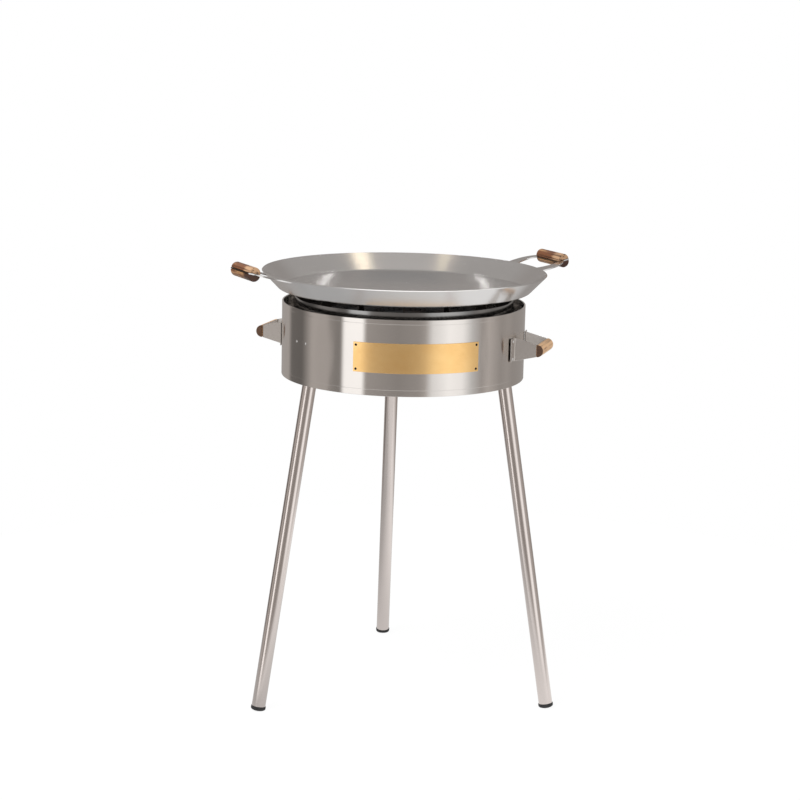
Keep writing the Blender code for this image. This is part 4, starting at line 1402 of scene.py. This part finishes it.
    def add_soft_lamp(self, group):
        """Broad lamp in front, above and to the left."""
        light = bpy.data.lights.new("lamp_soft", "AREA")
        light.energy = group.lamp_power
        light.size = group.lamp_width
        lamp = linked("lamp_soft", light)
        lamp.visible_glossy = False
        place = outward(group.camera_turn) @ Vector((group.lamp_reach, -group.lamp_reach, group.lamp_height))
        aim = Vector((AXIS.x, AXIS.y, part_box("pan_bowl")[0].z)) - place
        lamp.location = place
        lamp.rotation_euler = aim.to_track_quat("-Z", "Y").to_euler()

    def add_camera(self, context, group):
        """Camera at the photograph's place."""
        data = bpy.data.cameras.new("camera")
        data.lens = group.lens
        data.sensor_width = FRAME_WIDTH
        camera = linked("camera", data)
        place = outward(group.camera_turn, group.camera_distance, group.camera_height).translation
        heading = Matrix.Rotation(group.camera_turn + math.pi / 2 + group.camera_yaw, 4, "Z")
        pitch = Matrix.Rotation(math.pi / 2 - group.camera_pitch, 4, "X")
        roll = Matrix.Rotation(group.camera_roll, 4, "Z")
        camera.matrix_world = Matrix.Translation(place) @ heading @ pitch @ roll
        context.scene.camera = camera


class PAELLA_PT_sidebar(bpy.types.Panel):
    """Sidebar panel with one button for each piece"""

    bl_idname = "PAELLA_PT_sidebar"
    bl_label = "Paella Stand"
    bl_space_type = "VIEW_3D"
    bl_region_type = "UI"
    bl_category = "Paella Stand"

    def draw(self, context):
        column = self.layout.column()
        for operator in OPERATORS:
            column.operator(operator.bl_idname)


GROUPS = {"pan": PanLooks, "grip": GripLooks, "guard": GuardLooks, "burner": BurnerLooks, "leg": LegLooks,
          "studio": StudioLooks}
OPERATORS = (PAELLA_OT_pan_bowl, PAELLA_OT_pan_handles, PAELLA_OT_pan_grips, PAELLA_OT_wind_guard,
             PAELLA_OT_brass_plate, PAELLA_OT_stand_handles, PAELLA_OT_stand_grips, PAELLA_OT_pan_support,
             PAELLA_OT_burner, PAELLA_OT_gas_line, PAELLA_OT_knobs, PAELLA_OT_leg_mounts, PAELLA_OT_legs,
             PAELLA_OT_studio)


def register():
    """Register the groups of looks, the operators and the panel."""
    for name, group in GROUPS.items():
        bpy.utils.register_class(group)
        setattr(bpy.types.Scene, f"paella_{name}", bpy.props.PointerProperty(type=group))
    for operator in OPERATORS:
        bpy.utils.register_class(operator)
    bpy.utils.register_class(PAELLA_PT_sidebar)


def unregister():
    """Take back everything that register added."""
    bpy.utils.unregister_class(PAELLA_PT_sidebar)
    for operator in reversed(OPERATORS):
        bpy.utils.unregister_class(operator)
    for name, group in GROUPS.items():
        delattr(bpy.types.Scene, f"paella_{name}")
        bpy.utils.unregister_class(group)


def clear_start_objects():
    """Remove what Blender's start file holds."""
    for name in ("Cube", "Light", "Camera"):
        found = bpy.data.objects.get(name)
        if found:
            bpy.data.objects.remove(found)


def main():
    """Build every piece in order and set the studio."""
    clear_start_objects()
    register()
    bpy.ops.paella.pan_bowl()
    bpy.ops.paella.pan_handles()
    bpy.ops.paella.pan_grips()
    bpy.ops.paella.wind_guard()
    bpy.ops.paella.brass_plate()
    bpy.ops.paella.stand_handles()
    bpy.ops.paella.stand_grips()
    bpy.ops.paella.pan_support()
    bpy.ops.paella.burner()
    bpy.ops.paella.gas_line()
    bpy.ops.paella.knobs()
    bpy.ops.paella.leg_mounts()
    bpy.ops.paella.legs()
    bpy.ops.paella.studio()


if __name__ == "__main__":
    main()
